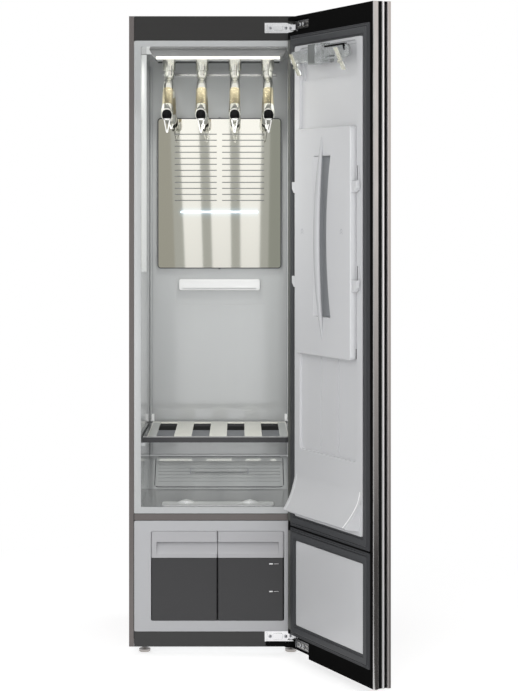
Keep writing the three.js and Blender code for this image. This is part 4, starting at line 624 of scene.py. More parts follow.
for number, x in enumerate(airHanger["places"], 1):
    bm = bmesh.new()
    for side, wing, hole in ((-1, "wing", "wingHole"), (1, "rearWing", "rearHole")):
        hangerArm(bm, side)
        outletFins(bm, side)
        sheet(bm, [airHanger[wing], airHanger[hole]], airHanger["wingDepth"], airHanger["wingEdge"],
              upright(airHanger["middle"] + side * airHanger["wingOut"]), 3)
    bm.normal_update()
    # The back of a wing is painted grey as shade.
    for face in bm.faces:
        if face.material_index == 3 and face.normal.y > airHanger["paintedShadeFacing"]:
            face.material_index = 4
    hangerNeck(bm)
    coats = ["pearlSkin", "champagneSkin", "outletBlack", "wingWhite", "wingPaintedShade"]
    makePiece("airHanger%d" % number, bm, coats, "hanger_%d" % number,
              ["air_hanger_%d" % number], 40, Matrix.Translation((x * mm, 0, 0)))
print("air hangers made")

# Press plate: a thick lid with rounded edges, a finger recess that deepens to the right and is painted darker
# as shade where it is deep, and a bow across it.
press = {
    "outline": (91, 421, 873, 1512), "radius": 14, "back": -6.3, "thickness": 17, "edge": 3.6,
    "opening": (206, 984, 1432), "openingCorner": 3, "openingRight": (279, 25), "openingSteps": 12,
    "skirt": {"inset": 1.4, "wall": 11, "depth": 8.0, "radius": 4, "edge": 0.6, "sink": 1},
    # The recess: how far from the opening's left or right edge, how deep from the plate's face, and the depth
    # from which it is painted darker as shade.
    "recessLeft": ((-3.4, 0.9), (24, 3.5), (34, 12.5)), "recessRight": ((-1, 13.5), (3.2, 3.0)),
    "recessTrim": 1, "paintedShadeFrom": 7,
    "middle": 256, "bow": (917, 1490), "bowHeight": 23.5, "bowHalfWidth": 13, "bowThickness": 15,
    "bowCrown": 0.6, "bowTip": (0.4, 1.2), "bowPowers": (2.2, 0.7, 0.6, 0.85), "bowSteps": 40, "bowRound": 16,
    "bowEnd": 0.9995, "tabs": (1060.2, 1329.9), "tabSpan": (162, 193), "tabTaper": 12, "tabHeight": 32,
    "tabThickness": 10, "tabBehind": 3, "tabEdge": 1.2,
    "tongue": (184, 187.4), "tongueDepth": (-9.6, -2.3), "tongueHeight": (6.3, 31.7),
    "chevrons": ((135.7, 1215), (369.7, 1217)), "chevronSize": (7.5, 6.5, 1.68), "chevronSteps": (0, 7.5),
    "chevronThickness": 0.3, "chevronEdge": 0.05, "chevronProud": 0.02,
}


def pressRecess(bm, face, holeLeft, holeMiddle, holeHalf, holeRight):
    rings = []
    steps = 2 * press["openingSteps"]
    for i in range(steps + 1):
        t = 2 * i / steps - 1
        z = holeMiddle + t * (holeHalf - press["recessTrim"])
        rings.append([(holeLeft + u, face + deep, z) for u, deep in press["recessLeft"]] +
                     [(holeRight(t) + u, face + deep, z) for u, deep in press["recessRight"]])
    # Faces deeper than that take the darker grey, painted shade.
    for made in skin(bm, rings, closed=False, caps=False):
        made.material_index = 1 if made.calc_center_median().y / mm > face + press["paintedShadeFrom"] else 0


# The bow is pointed at both ends and crowned along its front, in a darker copy of the plate's plastic,
# painted shade.
def pressBow(bm, face):
    v = press
    low, high = v["bow"]
    swellPower, widthPower, thickPower, roundPower = v["bowPowers"]
    tipHalf, tipThick = v["bowTip"]
    rings = []
    for i in range(v["bowSteps"] + 1):
        t = max(-v["bowEnd"], min(v["bowEnd"], 2 * i / v["bowSteps"] - 1))
        swell = 1 - abs(t) ** swellPower
        half = tipHalf + (v["bowHalfWidth"] - tipHalf) * swell ** widthPower
        thick = tipThick + (v["bowThickness"] - tipThick) * swell ** thickPower
        top = face - v["bowHeight"] * (1 - t * t) - v["bowCrown"] * swell
        ring = []
        for k in range(v["bowRound"]):
            angle = 2 * math.pi * k / v["bowRound"]
            bulge = math.copysign(abs(math.sin(angle)) ** roundPower, math.sin(angle))
            ring.append((v["middle"] + half * math.cos(angle), top + thick / 2 * (1 - bulge),
                         (low + high) / 2 + t * (high - low) / 2))
        rings.append(ring)
    skin(bm, rings, material=3)


def pressTabs(bm):
    v = press
    for z in v["tabs"]:
        for side in (-1, 1):
            root, end = (v["middle"] + side * reach for reach in v["tabSpan"])
            high = z + v["tabHeight"]
            outline = [(root, z), (end - side * v["tabTaper"], z), (end, z + v["tabTaper"]), (end, high),
                       (root, high)]
            sheet(bm, [outline], v["tabThickness"], v["tabEdge"],
                  upright(v["back"] - v["tabBehind"] - v["tabThickness"] / 2))
            across = [v["middle"] + reach for reach in mirrored(side, v["tongue"])]
            block(bm, across, v["tongueDepth"], [z + rise for rise in v["tongueHeight"]])


# Two small arrows on each side show which way the plate lifts.
def pressArrows(bm, face):
    across, rise, stroke = press["chevronSize"]
    for w, z in press["chevrons"]:
        for step in press["chevronSteps"]:
            low = z + step
            for side in (-1, 1):
                tip = w + side * across
                outline = [(w, low + rise), (w, low + rise - stroke), (tip, low - stroke), (tip, low)]
                sheet(bm, [outline], press["chevronThickness"], press["chevronEdge"],
                      upright(face - press["chevronProud"]), 2)


def pressPlate():
    v = press
    bm = bmesh.new()
    face = v["back"] - v["thickness"]
    holeLeft, holeLow, holeHigh = v["opening"]
    holeMiddle, holeHalf = (holeLow + holeHigh) / 2, (holeHigh - holeLow) / 2
    steps, cut = v["openingSteps"], v["openingCorner"]

    def holeRight(t):
        return v["openingRight"][0] + v["openingRight"][1] * t * t

    hole = [(holeRight(i / steps), holeMiddle + holeHalf * i / steps) for i in range(-steps, steps + 1)]
    hole += [(holeLeft + cut, holeHigh), (holeLeft, holeHigh - cut), (holeLeft, holeLow + cut),
             (holeLeft + cut, holeLow)]
    outline = insetBox(v["outline"], v["radius"], 0, 8)
    sheet(bm, [outline, hole], v["thickness"], v["edge"], upright((v["back"] + face) / 2))
    # A skirt closes the gap between the plate and the door's recess.
    skirt = v["skirt"]
    inner = insetBox(v["outline"], skirt["radius"] + skirt["wall"], skirt["wall"], 5)
    sheet(bm, [insetBox(v["outline"], v["radius"], skirt["inset"], 8), inner], skirt["depth"], skirt["edge"],
          upright(v["back"] - skirt["sink"] + skirt["depth"] / 2))
    pressRecess(bm, face, holeLeft, holeMiddle, holeHalf, holeRight)
    pressBow(bm, face)
    pressTabs(bm)
    pressArrows(bm, face)
    makePiece("pressPlate", bm, ["innerDoorPlastic", "seamAndPaintedShadeGrey", "markGrey", "bowPaintedShade"], "press",
              ["press_plate"], 40, doorMatrix)


pressPlate()
print("press plate made")

# Door liner: black slots above the press plate's tabs, painted shade inside their openings, and one at the
# recess's corner, a painted shadow of the gap under the plate's edge.
doorSlots = {"across": (81, 431), "heights": ((1091, 1131), (1364, 1403)), "half": 1.3, "face": -6.0,
             "corner": (421.6, 424.4, 878, 906), "radius": 1.2, "thickness": 0.6, "edge": 0.1}
v = doorSlots
bm = bmesh.new()
boxes = [(w - v["half"], w + v["half"], *height) for w in v["across"] for height in v["heights"]]
for box in boxes + [v["corner"]]:
    plate(bm, box, v["radius"], v["thickness"], v["edge"], v["face"])
makePiece("doorSlots", bm, "outletBlack", "door", move=doorMatrix)

# The door's free edge: a bright trim, a grip bar, and a bronze strip along the front panel.
doorEdge = {
    "height": (0.6, 1841.4), "strip": ((510.4, 512.4), (43.2, 51.2)), "steps": 10,
    "bars": (("doorEdgeTrim", (505.4, 512), (0, 14.5), 2.6, "edgeTrim", "door_edge_trim", "edge_trim"),
             ("doorGripBar", (505.4, 511.6), (26.8, 32.0), 1.4, "gripChrome", "door_grip_bar", "chrome")),
}
for name, (near, far), (inner, outer), bulge, coat, node, slot in doorEdge["bars"]:
    bm = bmesh.new()
    middle, half = (inner + outer) / 2, (outer - inner) / 2
    profile = [(near, outer), (near, inner)]
    for i in range(-doorEdge["steps"], doorEdge["steps"] + 1):
        t = i / doorEdge["steps"]
        profile.append((far - bulge * t * t, middle + half * t))
    skin(bm, [[(w, y, z) for w, y in profile] for z in doorEdge["height"]])
    makePiece(name, bm, coat, "door", [node], 40, doorMatrix)
bm = bmesh.new()
block(bm, *doorEdge["strip"], doorEdge["height"])
makePiece("doorFrontTrim", bm, "bronzeEdge", "door", move=doorMatrix, rounding=0.7, steps=3)
print("door edge made")

# Scoop: a fine bead along each side edge, where the liner flares out over the sill. The bead nearer the
# door's free edge is white, a painted highlight; the other keeps the liner's colour.
scoopBead = {"across": (68, 444), "curve": ((-6, 520), (-12, 472), (-52, 424)), "knee": 491, "foot": 400,
             "taper": 19, "radius": 1.5, "inward": 0.4, "outward": 0.2, "steps": 24, "round": 14}
v = scoopBead
bm = bmesh.new()
section = arc((0, 0), (v["radius"], v["radius"]), [360 * k / v["round"] for k in range(v["round"])])
for w, inward, material in zip(v["across"], (1, -1), (1, 0)):
    rings = []
    for i in range(v["steps"] + 1):
        t = i / v["steps"]
        y, z = [(1 - t) ** 2 * a + 2 * t * (1 - t) * b + t * t * c for a, b, c in zip(*v["curve"])]
        slopeY, slopeZ = [2 * (1 - t) * (b - a) + 2 * t * (c - b) for a, b, c in zip(*v["curve"])]
        length = math.hypot(slopeY, slopeZ)
        fall = max(0.0, v["knee"] - z) / (v["knee"] - v["foot"]) * v["taper"]
        middle = Vector((w + inward * (fall + v["inward"]), y + v["outward"], z))
        rings.append([middle + Vector((across, out * slopeZ / length, -out * slopeY / length))
                      for across, out in section])
    skin(bm, rings, material=material)
makePiece("scoopBeads", bm, ["whitePlastic", "innerDoorPlastic"], "door", move=doorMatrix,
          bend=40)

# Hood: a pale plate on its underside, painted light, pierced where the sockets stand, with a dark lip behind
# it that paints the shade under the hood's rear edge.
hoodPaintedLightPlate = {"box": (-188, 188, -60, 10), "radius": 6, "height": 1739.35, "thickness": 0.7, "edge": 0.2,
             "bore": (20.4, 20.4), "lip": ((33, 39.5), (1734.6, 1741))}
v = hoodPaintedLightPlate
bm = bmesh.new()
bores = [arc((x, airHanger["middle"]), v["bore"], range(0, 360, 10)) for x in airHanger["places"]]
sheet(bm, [roundedBox(*v["box"], v["radius"])] + bores, v["thickness"], v["edge"],
      Matrix.Translation((0, 0, v["height"] * mm)))
block(bm, v["box"][:2], *v["lip"], 1)
makePiece("hoodPaintedLightPlate", bm, ["whitePlastic", "rimDark"], "cabinet")

# Liner: a slim bead down each back corner with a grey seam beside it, and a pale ledge where the slope meets
# the back wall, a painted highlight.
beads = {"across": 218.6, "face": 220.6, "radius": 3.0, "height": (499, 1738), "seam": (213.8, 214.9),
         "seamDepth": (221.6, 222.6), "ledge": ((-221.5, 221.5), (216, 223), (494.6, 499.6))}
bm = bmesh.new()
for side in (-1, 1):
    middle, radii = (side * beads["across"], beads["face"]), (beads["radius"], -beads["radius"])
    bead = arc(middle, radii, range(0, 181, 15))
    skin(bm, [[(x, y, z) for x, y in bead] for z in beads["height"]])
    block(bm, mirrored(side, beads["seam"]), beads["seamDepth"], beads["height"], 1)
block(bm, *beads["ledge"], 2)
makePiece("linerBeads", bm, ["linerGloss", "seamAndPaintedShadeGrey", "innerDoorPlastic"], "cabinet",
          bend=40)

# Door: a grey margin along its hinge side, beside the gaskets.
margin = {"across": (1.5, 21.4), "heights": ((62, 350), (378, 1776)), "face": -0.15, "radius": 3,
          "thickness": 0.5, "edge": 0.15}
v = margin
bm = bmesh.new()
for height in v["heights"]:
    plate(bm, (*v["across"], *height), v["radius"], v["thickness"], v["edge"], v["face"])
makePiece("doorMargin", bm, "marginPlastic", "door", move=doorMatrix)

# Mirror rim: a thin dark bead round the panel, with a clip at the middle of its top and bottom.
mirrorRim = {"outline": (-197.4, 197.4, 1093.6, 1573.4), "radius": 10.4, "face": 217.7,
             "bead": ((0, -6), (0, 0.2), (0.4, 0.9), (1.2, 1.3), (2.2, 1.1), (2.9, 0.5), (3.0, -0.5)),
             "clip": (3.2, 2.2), "clipRadius": 1.4, "clipThickness": 3.2, "clipEdge": 0.6, "clipProud": 1.4}
v = mirrorRim
bm = bmesh.new()
skin(bm, [[(x, v["face"] - proud, z) for x, z in insetBox(v["outline"], v["radius"], inset, 6)]
          for inset, proud in v["bead"]], caps=False)
wide, tall = v["clip"]
for z in v["outline"][:1:-1]:
    plate(bm, (-wide, wide, z - tall, z + tall), v["clipRadius"], v["clipThickness"], v["clipEdge"],
          v["face"] - v["clipProud"])
makePiece("mirrorRim", bm, "rimDark", "cabinet")
print("mirror rim made")

# Shelf frame: a front bar whose top edge is painted pale as a highlight, two side rails that fall to the
# back, a low rear bar, and under it a deep black bar and a grey block, painted shade that shows through the
# openings.
shelfFrame = {
    "half": 220.5, "front": (-245, -233), "rear": (170, 212), "rearTop": 603.9, "bottom": 596, "top": 613,
    "highlightBand": 1.6, "inner": 210.5, "sideTop": (610.5, 603.9),
    "ledge": (203.5, 211.5), "ledgeHeight": (597, 604.2),
    "deepBar": (203, (198, 208), (580, 597)), "underLip": (203, (199, 207), (553, 581)),
    "sideZone": (184.5, 208), "zoneDepth": (-231, 168), "zoneHeight": (606.6, 607.9), "overlap": 1,
}
bm = bmesh.new()
v = shelfFrame
across = (-v["half"], v["half"])
between = (v["front"][1] - v["overlap"], v["rear"][0] + v["overlap"])
pale = v["top"] - v["highlightBand"]
block(bm, across, v["front"], (v["bottom"], pale))
block(bm, across, v["rear"], (v["bottom"], v["rearTop"]))
for side in (-1, 1):
    inner, outer = side * v["inner"], side * v["half"]
    skin(bm, [[(inner, y, v["bottom"]), (outer, y, v["bottom"]), (outer, y, top), (inner, y, top)]
              for y, top in zip((between[0], v["rear"][1]), v["sideTop"])])
    block(bm, mirrored(side, v["ledge"]), between, v["ledgeHeight"])
for key, material in (("deepBar", 2), ("underLip", 3)):
    half, depth, height = v[key]
    block(bm, (-half, half), depth, height, material)
block(bm, across, v["front"], (pale, v["top"]), 1)
for side in (-1, 1):
    block(bm, mirrored(side, v["sideZone"]), v["zoneDepth"], v["zoneHeight"], 4)
makePiece("shelfFrame", bm, ["shelfFrameGloss", "shelfEdgePaintedHighlight", "outletBlack", "seamAndPaintedShadeGrey", "shelfSide"],
          "shelf", ["shelf_frame"], rounding=0.7)

# Shelf clips: white hooks on the back wall that hold the frame's rear bar, each made of three blocks.
shelfClip = (((208, 221.8), (221, 229.5), (605.5, 629)), ((210, 219.8), (213, 229.5), (606.5, 611.5)),
             ((213, 216.8), (216, 229.5), (608.5, 626)))
bm = bmesh.new()
for side in (-1, 1):
    for across, depth, height in shelfClip:
        block(bm, mirrored(side, across), depth, height)
makePiece("shelfClips", bm, "whitePlastic", "cabinet", rounding=0.9, steps=3)

# Filter frame: the fine raised line round the filter on the slope at the back of the floor. The filter has
# two finger marks.
slope = {"foot": (110, 407), "angle": math.atan2(90, 112), "box": (-203.5, 203.5, 5.5, 138), "radius": 14,
         "line": ((0, 0.05), (0.4, 0.7), (1.1, 1.0), (1.8, 0.7), (2.2, 0.05)),
         "markAlong": 74, "markOuter": (88, (5, 15)), "markInner": (85.4, (5, 14)), "markHeight": 2.3,
         "markThickness": 1.0, "markEdge": 0.3}
lay = Matrix.Translation(Vector((0, *slope["foot"])) * mm) @ Matrix.Rotation(slope["angle"], 4, "X")
bm = bmesh.new()
skin(bm, [[(x, s, proud) for x, s in insetBox(slope["box"], slope["radius"], inset, 7)]
          for inset, proud in slope["line"]], caps=False)
makePiece("filterFrame", bm, "rimDark", "cabinet", move=lay)
bm = bmesh.new()
for side in (-1, 1):
    points = []
    for key, degrees in (("markOuter", range(-60, 61, 15)), ("markInner", range(60, -61, -15))):
        across, radii = slope[key]
        points += [(side * x, s) for x, s in arc((across, slope["markAlong"]), radii, degrees)]
    sheet(bm, [points], slope["markThickness"], slope["markEdge"],
          Matrix.Translation((0, 0, slope["markHeight"] * mm)))
makePiece("filterMarks", bm, "markGrey", "filter", move=lay)
print("shelf and filter details made")

# Steam bar: a flat sill on the cavity floor with two low peaked covers over its nozzles.
steamSill = {
    "box": (-165, 165, -252, -178), "radius": 12, "layers": ((1, 407.3, 410.6, 0), (0, 410.6, 411.8, 0.3)),
    "covers": (-95, 95), "coverHalf": 25, "coverHeight": 7.6, "coverPower": 0.85, "coverLift": 0.15,
    "coverDepth": (-214, -181), "coverFoot": 411.3, "coverSteps": 12, "coverNose": 14,
    "coverBend": (5, 0.8), "coverBack": 10,
}
bm = bmesh.new()
v = steamSill
# The lower layer takes the darker sill plastic, painted shade on the sill's sides; the top layer keeps the
# lit tone.
for material, low, high, inset in v["layers"]:
    outline = insetBox(v["box"], v["radius"], inset, 7)
    skin(bm, [[(x, y, z) for x, y in outline] for z in (low, high)], material=material)
top = v["layers"][1][2]
for x in v["covers"]:
    rings = []
    for i in range(-v["coverSteps"], v["coverSteps"] + 1):
        t = i / v["coverSteps"]
        rise = v["coverHeight"] * (1 - abs(t)) ** v["coverPower"] + v["coverLift"]
        near, far = v["coverDepth"][0] + v["coverNose"] * abs(t), v["coverDepth"][1]
        bend, share = v["coverBend"]
        rings.append([(x + v["coverHalf"] * t, y, z) for y, z in
                      ((near, v["coverFoot"]), (near + bend, top + rise * share),
                       (near + v["coverBack"], top + rise), (far, top + rise), (far, v["coverFoot"]))])
    skin(bm, rings)
makePiece("steamSill", bm, ["sillPlastic", "sillPaintedShade"], "cabinet", ["steam_bar"], 30)
print("steam sill made")

# Finger grips in the tank lids: a slope that runs out towards the lid's lower edge.
grips = {"spans": {"supply": (-178.7, -0.9), "drain": (0.9, 178.7)}, "top": 306.6, "bottom": 272.4,
         "face": -269.7, "depth": 17, "steps": 12, "hollow": 1.3, "wall": (3, 2)}
v = grips
profile = []
for i in range(v["steps"] + 1):
    t = i / v["steps"]
    profile.append((v["face"] + v["depth"] * (1 - t) ** v["hollow"], v["top"] + (v["bottom"] - v["top"]) * t))
profile += [(v["face"] + v["wall"][0], v["bottom"]), (v["face"] + v["depth"] + v["wall"][1], v["top"])]
for body, span in v["spans"].items():
    bm = bmesh.new()
    skin(bm, [[(x, y, z) for y, z in profile] for x in span])
    makePiece(body + "Grip", bm, "lidPlastic", body, bend=50)

# Shadow seams between the side panels, the divider and the frame of the tank bay.
seams = {"across": (244.8, 246.4), "height": (24, 390), "levels": (370.6, 390.2), "half": 0.6,
         "face": -270.12, "radii": (0.5, 0.4), "thickness": 0.5, "edge": 0.1}
v = seams
bm = bmesh.new()
boxes = [((*mirrored(side, v["across"]), *v["height"]), v["radii"][0]) for side in (-1, 1)]
boxes += [((-v["across"][0], v["across"][0], z - v["half"], z + v["half"]), v["radii"][1])
          for z in v["levels"]]
for box, radius in boxes:
    plate(bm, box, radius, v["thickness"], v["edge"], v["face"], steps=2)
makePiece("baySeams", bm, "outletBlack", "cabinet")
print("grips and seams made")

# Feet: a threaded stud, a cone and a heavy pad.
foot = {
    "places": {"foot_front_left": (-216, -225), "foot_front_right": (216, -225),
               "foot_rear_left": (-216, 225), "foot_rear_right": (216, 225)},
    "profile": [(5.4, 2.0), (5.4, -7.4), (6.6, -8.6), (8.0, -11.2), (10.6, -12.8), (15.6, -13.8),
                (17.2, -15.2), (17.2, -21.0), (16.6, -22.6), (15.0, -23.6), (12.0, -23.9)],
    "thread": [(5.4, -0.6), (5.9, -1.0), (5.4, -1.5)], "pitch": 1.1, "turns": 4,
    "round": 44, "threadRound": 32,
}
for node, (x, y) in foot["places"].items():
    bm = bmesh.new()
    spot = Matrix.Translation((x, y, 0))
    turned(bm, foot["profile"], spot, foot["round"])
    for number in range(foot["turns"]):
        ridge = [(radius, height - foot["pitch"] * number) for radius, height in foot["thread"]]
        turned(bm, ridge, spot, foot["threadRound"])
    part = "".join(word.capitalize() for word in node.split("_"))
    makePiece("levelling" + part, bm, "footSteel", "cabinet", [node], 32)
print("feet made")

# Trouser hanger: a clear bar with a window, a smoked block on its hook, a dark strip along its top, and a
# black tail at the strip's right end, a painted shadow.
trouser = {
    "bar": (81.6, 430.4, 1697.3, 1733.1, 15.4, 7), "window": (292, 352, 1702.7, 1707.7, 1.6, 3),
    "barMiddle": -30, "barThickness": 6.8, "barEdge": 0.9,
    "block": (1690, 1745), "blockSmoked": (206, 247), "blockClear": (248, 284),
    "blockRadius": 2.5, "blockThickness": 24.5, "blockMiddle": -29.75, "blockEdge": 1.2,
    "strip": (290, 408, 1731.5, 1736.5), "stripRadius": 2.2, "stripThickness": 9, "stripEdge": 1.5,
    "tail": [(396, 1733), (396, 1728), (403, 1716), (408, 1716), (408, 1733)],
    "tailThickness": 8, "tailEdge": 1.2,
}
v = trouser
bm = bmesh.new()
sheet(bm, [roundedBox(*v["bar"]), roundedBox(*v["window"])], v["barThickness"], v["barEdge"],
      upright(v["barMiddle"]))
for key, material in (("blockSmoked", 1), ("blockClear", 0)):
    plate(bm, (*v[key], *v["block"]), v["blockRadius"], v["blockThickness"], v["blockEdge"], v["blockMiddle"],
          material)
plate(bm, v["strip"], v["stripRadius"], v["stripThickness"], v["stripEdge"], v["barMiddle"], 2)
sheet(bm, [v["tail"]], v["tailThickness"], v["tailEdge"], upright(v["barMiddle"]), 2)
makePiece("trouserBar", bm, ["clearPlastic", "smokedClear", "blackPlastic"], "trouser_bar",
          move=doorMatrix, bend=40)
print("trouser hanger made")

# Hinges: screws with crosses, a pressed cover on each plate, and the dark bracket under the lower one.
hinges = {
    "levels": (1815, 31), "plateFace": -273, "screwAcross": (154, 199.6), "leafFace": 1.7,
    "leafAcross": (78, 94), "screwRadius": 4.9, "screwSink": 1.2,
    # Left, right, half height, corner radius, corner steps, thickness and edge of each rib.
    "ribs": ((162, 191, 9.5, 6, 6, 1.8, 0.8), (139.5, 146, 11, 2.5, 4, 1.6, 0.7)), "ribSink": 0.2,
    "bracket": (((141, 226), (-277, -266.5), (3.2, 16.4)), ((196, 236), (-284, -268), (1.0, 12.0))),
    "linkHeights": ((-8.5, -4.5), (2.5, 6.5)), "linkAcross": (60, 84, 108), "linkLength": 17, "linkSink": 0.5,
    "linkRadius": 1.9, "linkThickness": 1.6, "linkEdge": 0.6,
}
v = hinges
bm = bmesh.new()
for level in v["levels"]:
    for left, right, half, radius, steps, thickness, edge in v["ribs"]:
        plate(bm, (left, right, level - half, level + half), radius, thickness, edge,
              v["plateFace"] - v["ribSink"], steps=steps)
makePiece("hingePlateRibs", bm, "polishedChrome", "cabinet")
for name, across, face, body, move in (
        ("hingePlateScrews", v["screwAcross"], v["plateFace"], "cabinet", None),
        ("hingeLeafScrews", v["leafAcross"], v["leafFace"], "door", doorMatrix)):
    spots = [(x, face - v["screwSink"], level) for level in v["levels"] for x in across]
    screws(name, spots, frontwards, body, v["screwRadius"], move)
bm = bmesh.new()
for corners in v["bracket"]:
    block(bm, *corners)
makePiece("hingeBracket", bm, "blackPlastic", "cabinet", rounding=1.4, steps=3)
bm = bmesh.new()
for level in v["levels"]:
    for low, high in v["linkHeights"]:
        for w in v["linkAcross"]:
            plate(bm, (w, w + v["linkLength"], level + low, level + high), v["linkRadius"],
                  v["linkThickness"], v["linkEdge"], v["leafFace"] - v["linkSink"])
makePiece("hingeLeafLinks", bm, "linkSteel", "door", move=doorMatrix)
print("hinge details made")

# Level marks on the drain tank: plain dashes for full and half.
marks = {"heights": (243, 162), "dashes": ((151, 162, 3.4), (165, 179, 0.9)), "face": -270.0,
         "radiusShare": 0.45, "thickness": 0.4, "edge": 0.05}
v = marks
bm = bmesh.new()
for z in v["heights"]:
    for left, right, height in v["dashes"]:
        plate(bm, (left, right, z - height / 2, z + height / 2), height * v["radiusShare"], v["thickness"],
              v["edge"], v["face"], steps=3)
makePiece("levelMarks", bm, "whitePlastic", "drain")

# Screws on the back and on top.
caseScrews = {"radius": 4.0, "rear": 270.2, "rearRows": ((246, (60, 480, 900, 1330, 1828)), (82, (60, 1828))),
              "top": 1850.2, "topAcross": 236, "topDepths": (-225, 0, 225)}
screws("rearScrews", [(side * across, caseScrews["rear"], z) for across, heights in caseScrews["rearRows"]
                      for side in (-1, 1) for z in heights], rearwards, "cabinet", caseScrews["radius"])
screws("topScrews", [(side * caseScrews["topAcross"], y, caseScrews["top"]) for side in (-1, 1)
                     for y in caseScrews["topDepths"]], Matrix.Identity(4), "cabinet", caseScrews["radius"])
print("marks and screws made")

# Studio: white all round for the camera, gloss and glass, a plain level for everything else.
studio = {
    "level": 0.42,
    # Power, size, place, aim and colour of each softbox.
    "lights": {
        "frontLight": (92, (2.4, 2.4), (0.1, -5.2, 1.5), (0, 0, 1.0), (1, 1, 1)),
        "keyLight": (28, (2.0, 2.6), (-1.8, -3.4, 2.3), (0, 0, 1.0), (1, 1, 1)),
        "fillLight": (18, (2.0, 2.4), (2.2, -3.0, 1.4), (0.1, -0.2, 0.9), (1, 1, 1)),
        "cavityLight": (0.88, (0.42, 0.95), (0, -0.262, 0.92), (0, 1, 0.92), (1, 1, 0.985)),
        "lampLight": (2.9, (0.36, 0.03), (0, -0.165, 1.729), (0, -0.165, 1.0), (1, 1, 0.93)),
        "leftWallLight": (0.5, (0.09, 0.5), (-0.03, -0.205, 1.36), (-1, -0.205, 1.36), (1, 1, 0.98)),
        "rightWallLight": (0.7, (0.09, 0.6), (0.03, -0.205, 1.3), (1, -0.205, 1.3), (1, 1, 0.98)),
        "backWallLight": (0.03, (0.40, 0.03), (0, 0.05, 1.72), (0, 0.222, 1.62), (0.96, 1, 0.97)),
    },
}


# One where a ray comes from the camera, a glossy surface or a clear one.
def seenDirectly(tree):
    rays = place(tree, "ShaderNodeLightPath")
    mirrors = maths(tree, "MAXIMUM", rays.outputs["Is Glossy Ray"], rays.outputs["Is Transmission Ray"])
    return maths(tree, "MAXIMUM", rays.outputs["Is Camera Ray"], mirrors)


world = bpy.data.worlds.new("studio")
scene.world = world
world.use_nodes = True
tree = world.node_tree
tree.nodes.clear()
background = place(tree, "ShaderNodeBackground")
background.inputs["Color"].default_value = (1, 1, 1, 1)
strength = maths(tree, "MULTIPLY_ADD", seenDirectly(tree), 1 - studio["level"], studio["level"])
join(tree, strength, background.inputs["Strength"])
join(tree, background.outputs["Background"], place(tree, "ShaderNodeOutputWorld").inputs["Surface"])

for name, (power, size, location, target, colour) in studio["lights"].items():
    light = bpy.data.lights.new(name, "AREA")
    light.energy = power
    light.shape = "RECTANGLE"
    light.size, light.size_y = size
    light.color = colour
    softbox = bpy.data.objects.new(name, light)
    softbox.location = location
    softbox.rotation_euler = (Vector(target) - Vector(location)).to_track_quat("-Z", "Y").to_euler()
    softbox.visible_glossy = False
    softbox.visible_camera = False
    scene.collection.objects.link(softbox)


# Paper of a card: it glows a plain tone, from one strength at its low edge to another at its high edge.
def cardPaper(name, colour, strengths, heights=(0, 1), oneSided=False):
    paper = bpy.data.materials.new(name)
    paper.use_nodes = True
    tree = paper.node_tree
    tree.nodes.clear()
    glowing = place(tree, "ShaderNodeEmission")
    height = place(tree, "ShaderNodeSeparateXYZ")
    join(tree, ownPlace(tree), height.inputs[0])
    fall = place(tree, "ShaderNodeMapRange")
    for key, value in zip(("From Min", "From Max", "To Min", "To Max"), (*heights, *strengths)):
        fall.inputs[key].default_value = value
    join(tree, height.outputs["Z"], fall.inputs["Value"])
    glowing.inputs["Color"].default_value = (*colour, 1)
    join(tree, fall.outputs["Result"], glowing.inputs["Strength"])
    shown = glowing.outputs[0]
    if oneSided:
        sided = place(tree, "ShaderNodeMixShader")
        join(tree, place(tree, "ShaderNodeNewGeometry").outputs["Backfacing"], sided.inputs["Fac"])
        join(tree, shown, sided.inputs[1])
        join(tree, place(tree, "ShaderNodeBsdfTransparent").outputs[0], sided.inputs[2])
        shown = sided.outputs[0]
    join(tree, shown, place(tree, "ShaderNodeOutputMaterial").inputs["Surface"])
    return paper


# A card that only reflections see. Each of its fields has corners, in metres, and the number of a paper.
def hangCard(name, fields, papers):
    bm = bmesh.new()
    for corners, tone in fields:
        bm.faces.new([bm.verts.new(corner) for corner in corners]).material_index = tone
    mesh = bpy.data.meshes.new(name)
    bm.to_mesh(mesh)
    bm.free()
    for paper in papers:
        mesh.materials.append(paper)
    made = bpy.data.objects.new(name, mesh)
    scene.collection.objects.link(made)
    for sight in ("camera", "diffuse", "transmission", "shadow", "volume_scatter"):
        setattr(made, "visible_" + sight, False)


def standing(across, depth, height):
    (left, right), (low, high) = across, height
    return (left, depth, low), (right, depth, low), (right, depth, high), (left, depth, high)


def lying(across, depths, height):
    (left, right), (near, far) = across, depths
    return [Vector((x, y, height)) * mm for x, y in ((left, near), (right, near), (right, far), (left, far))]


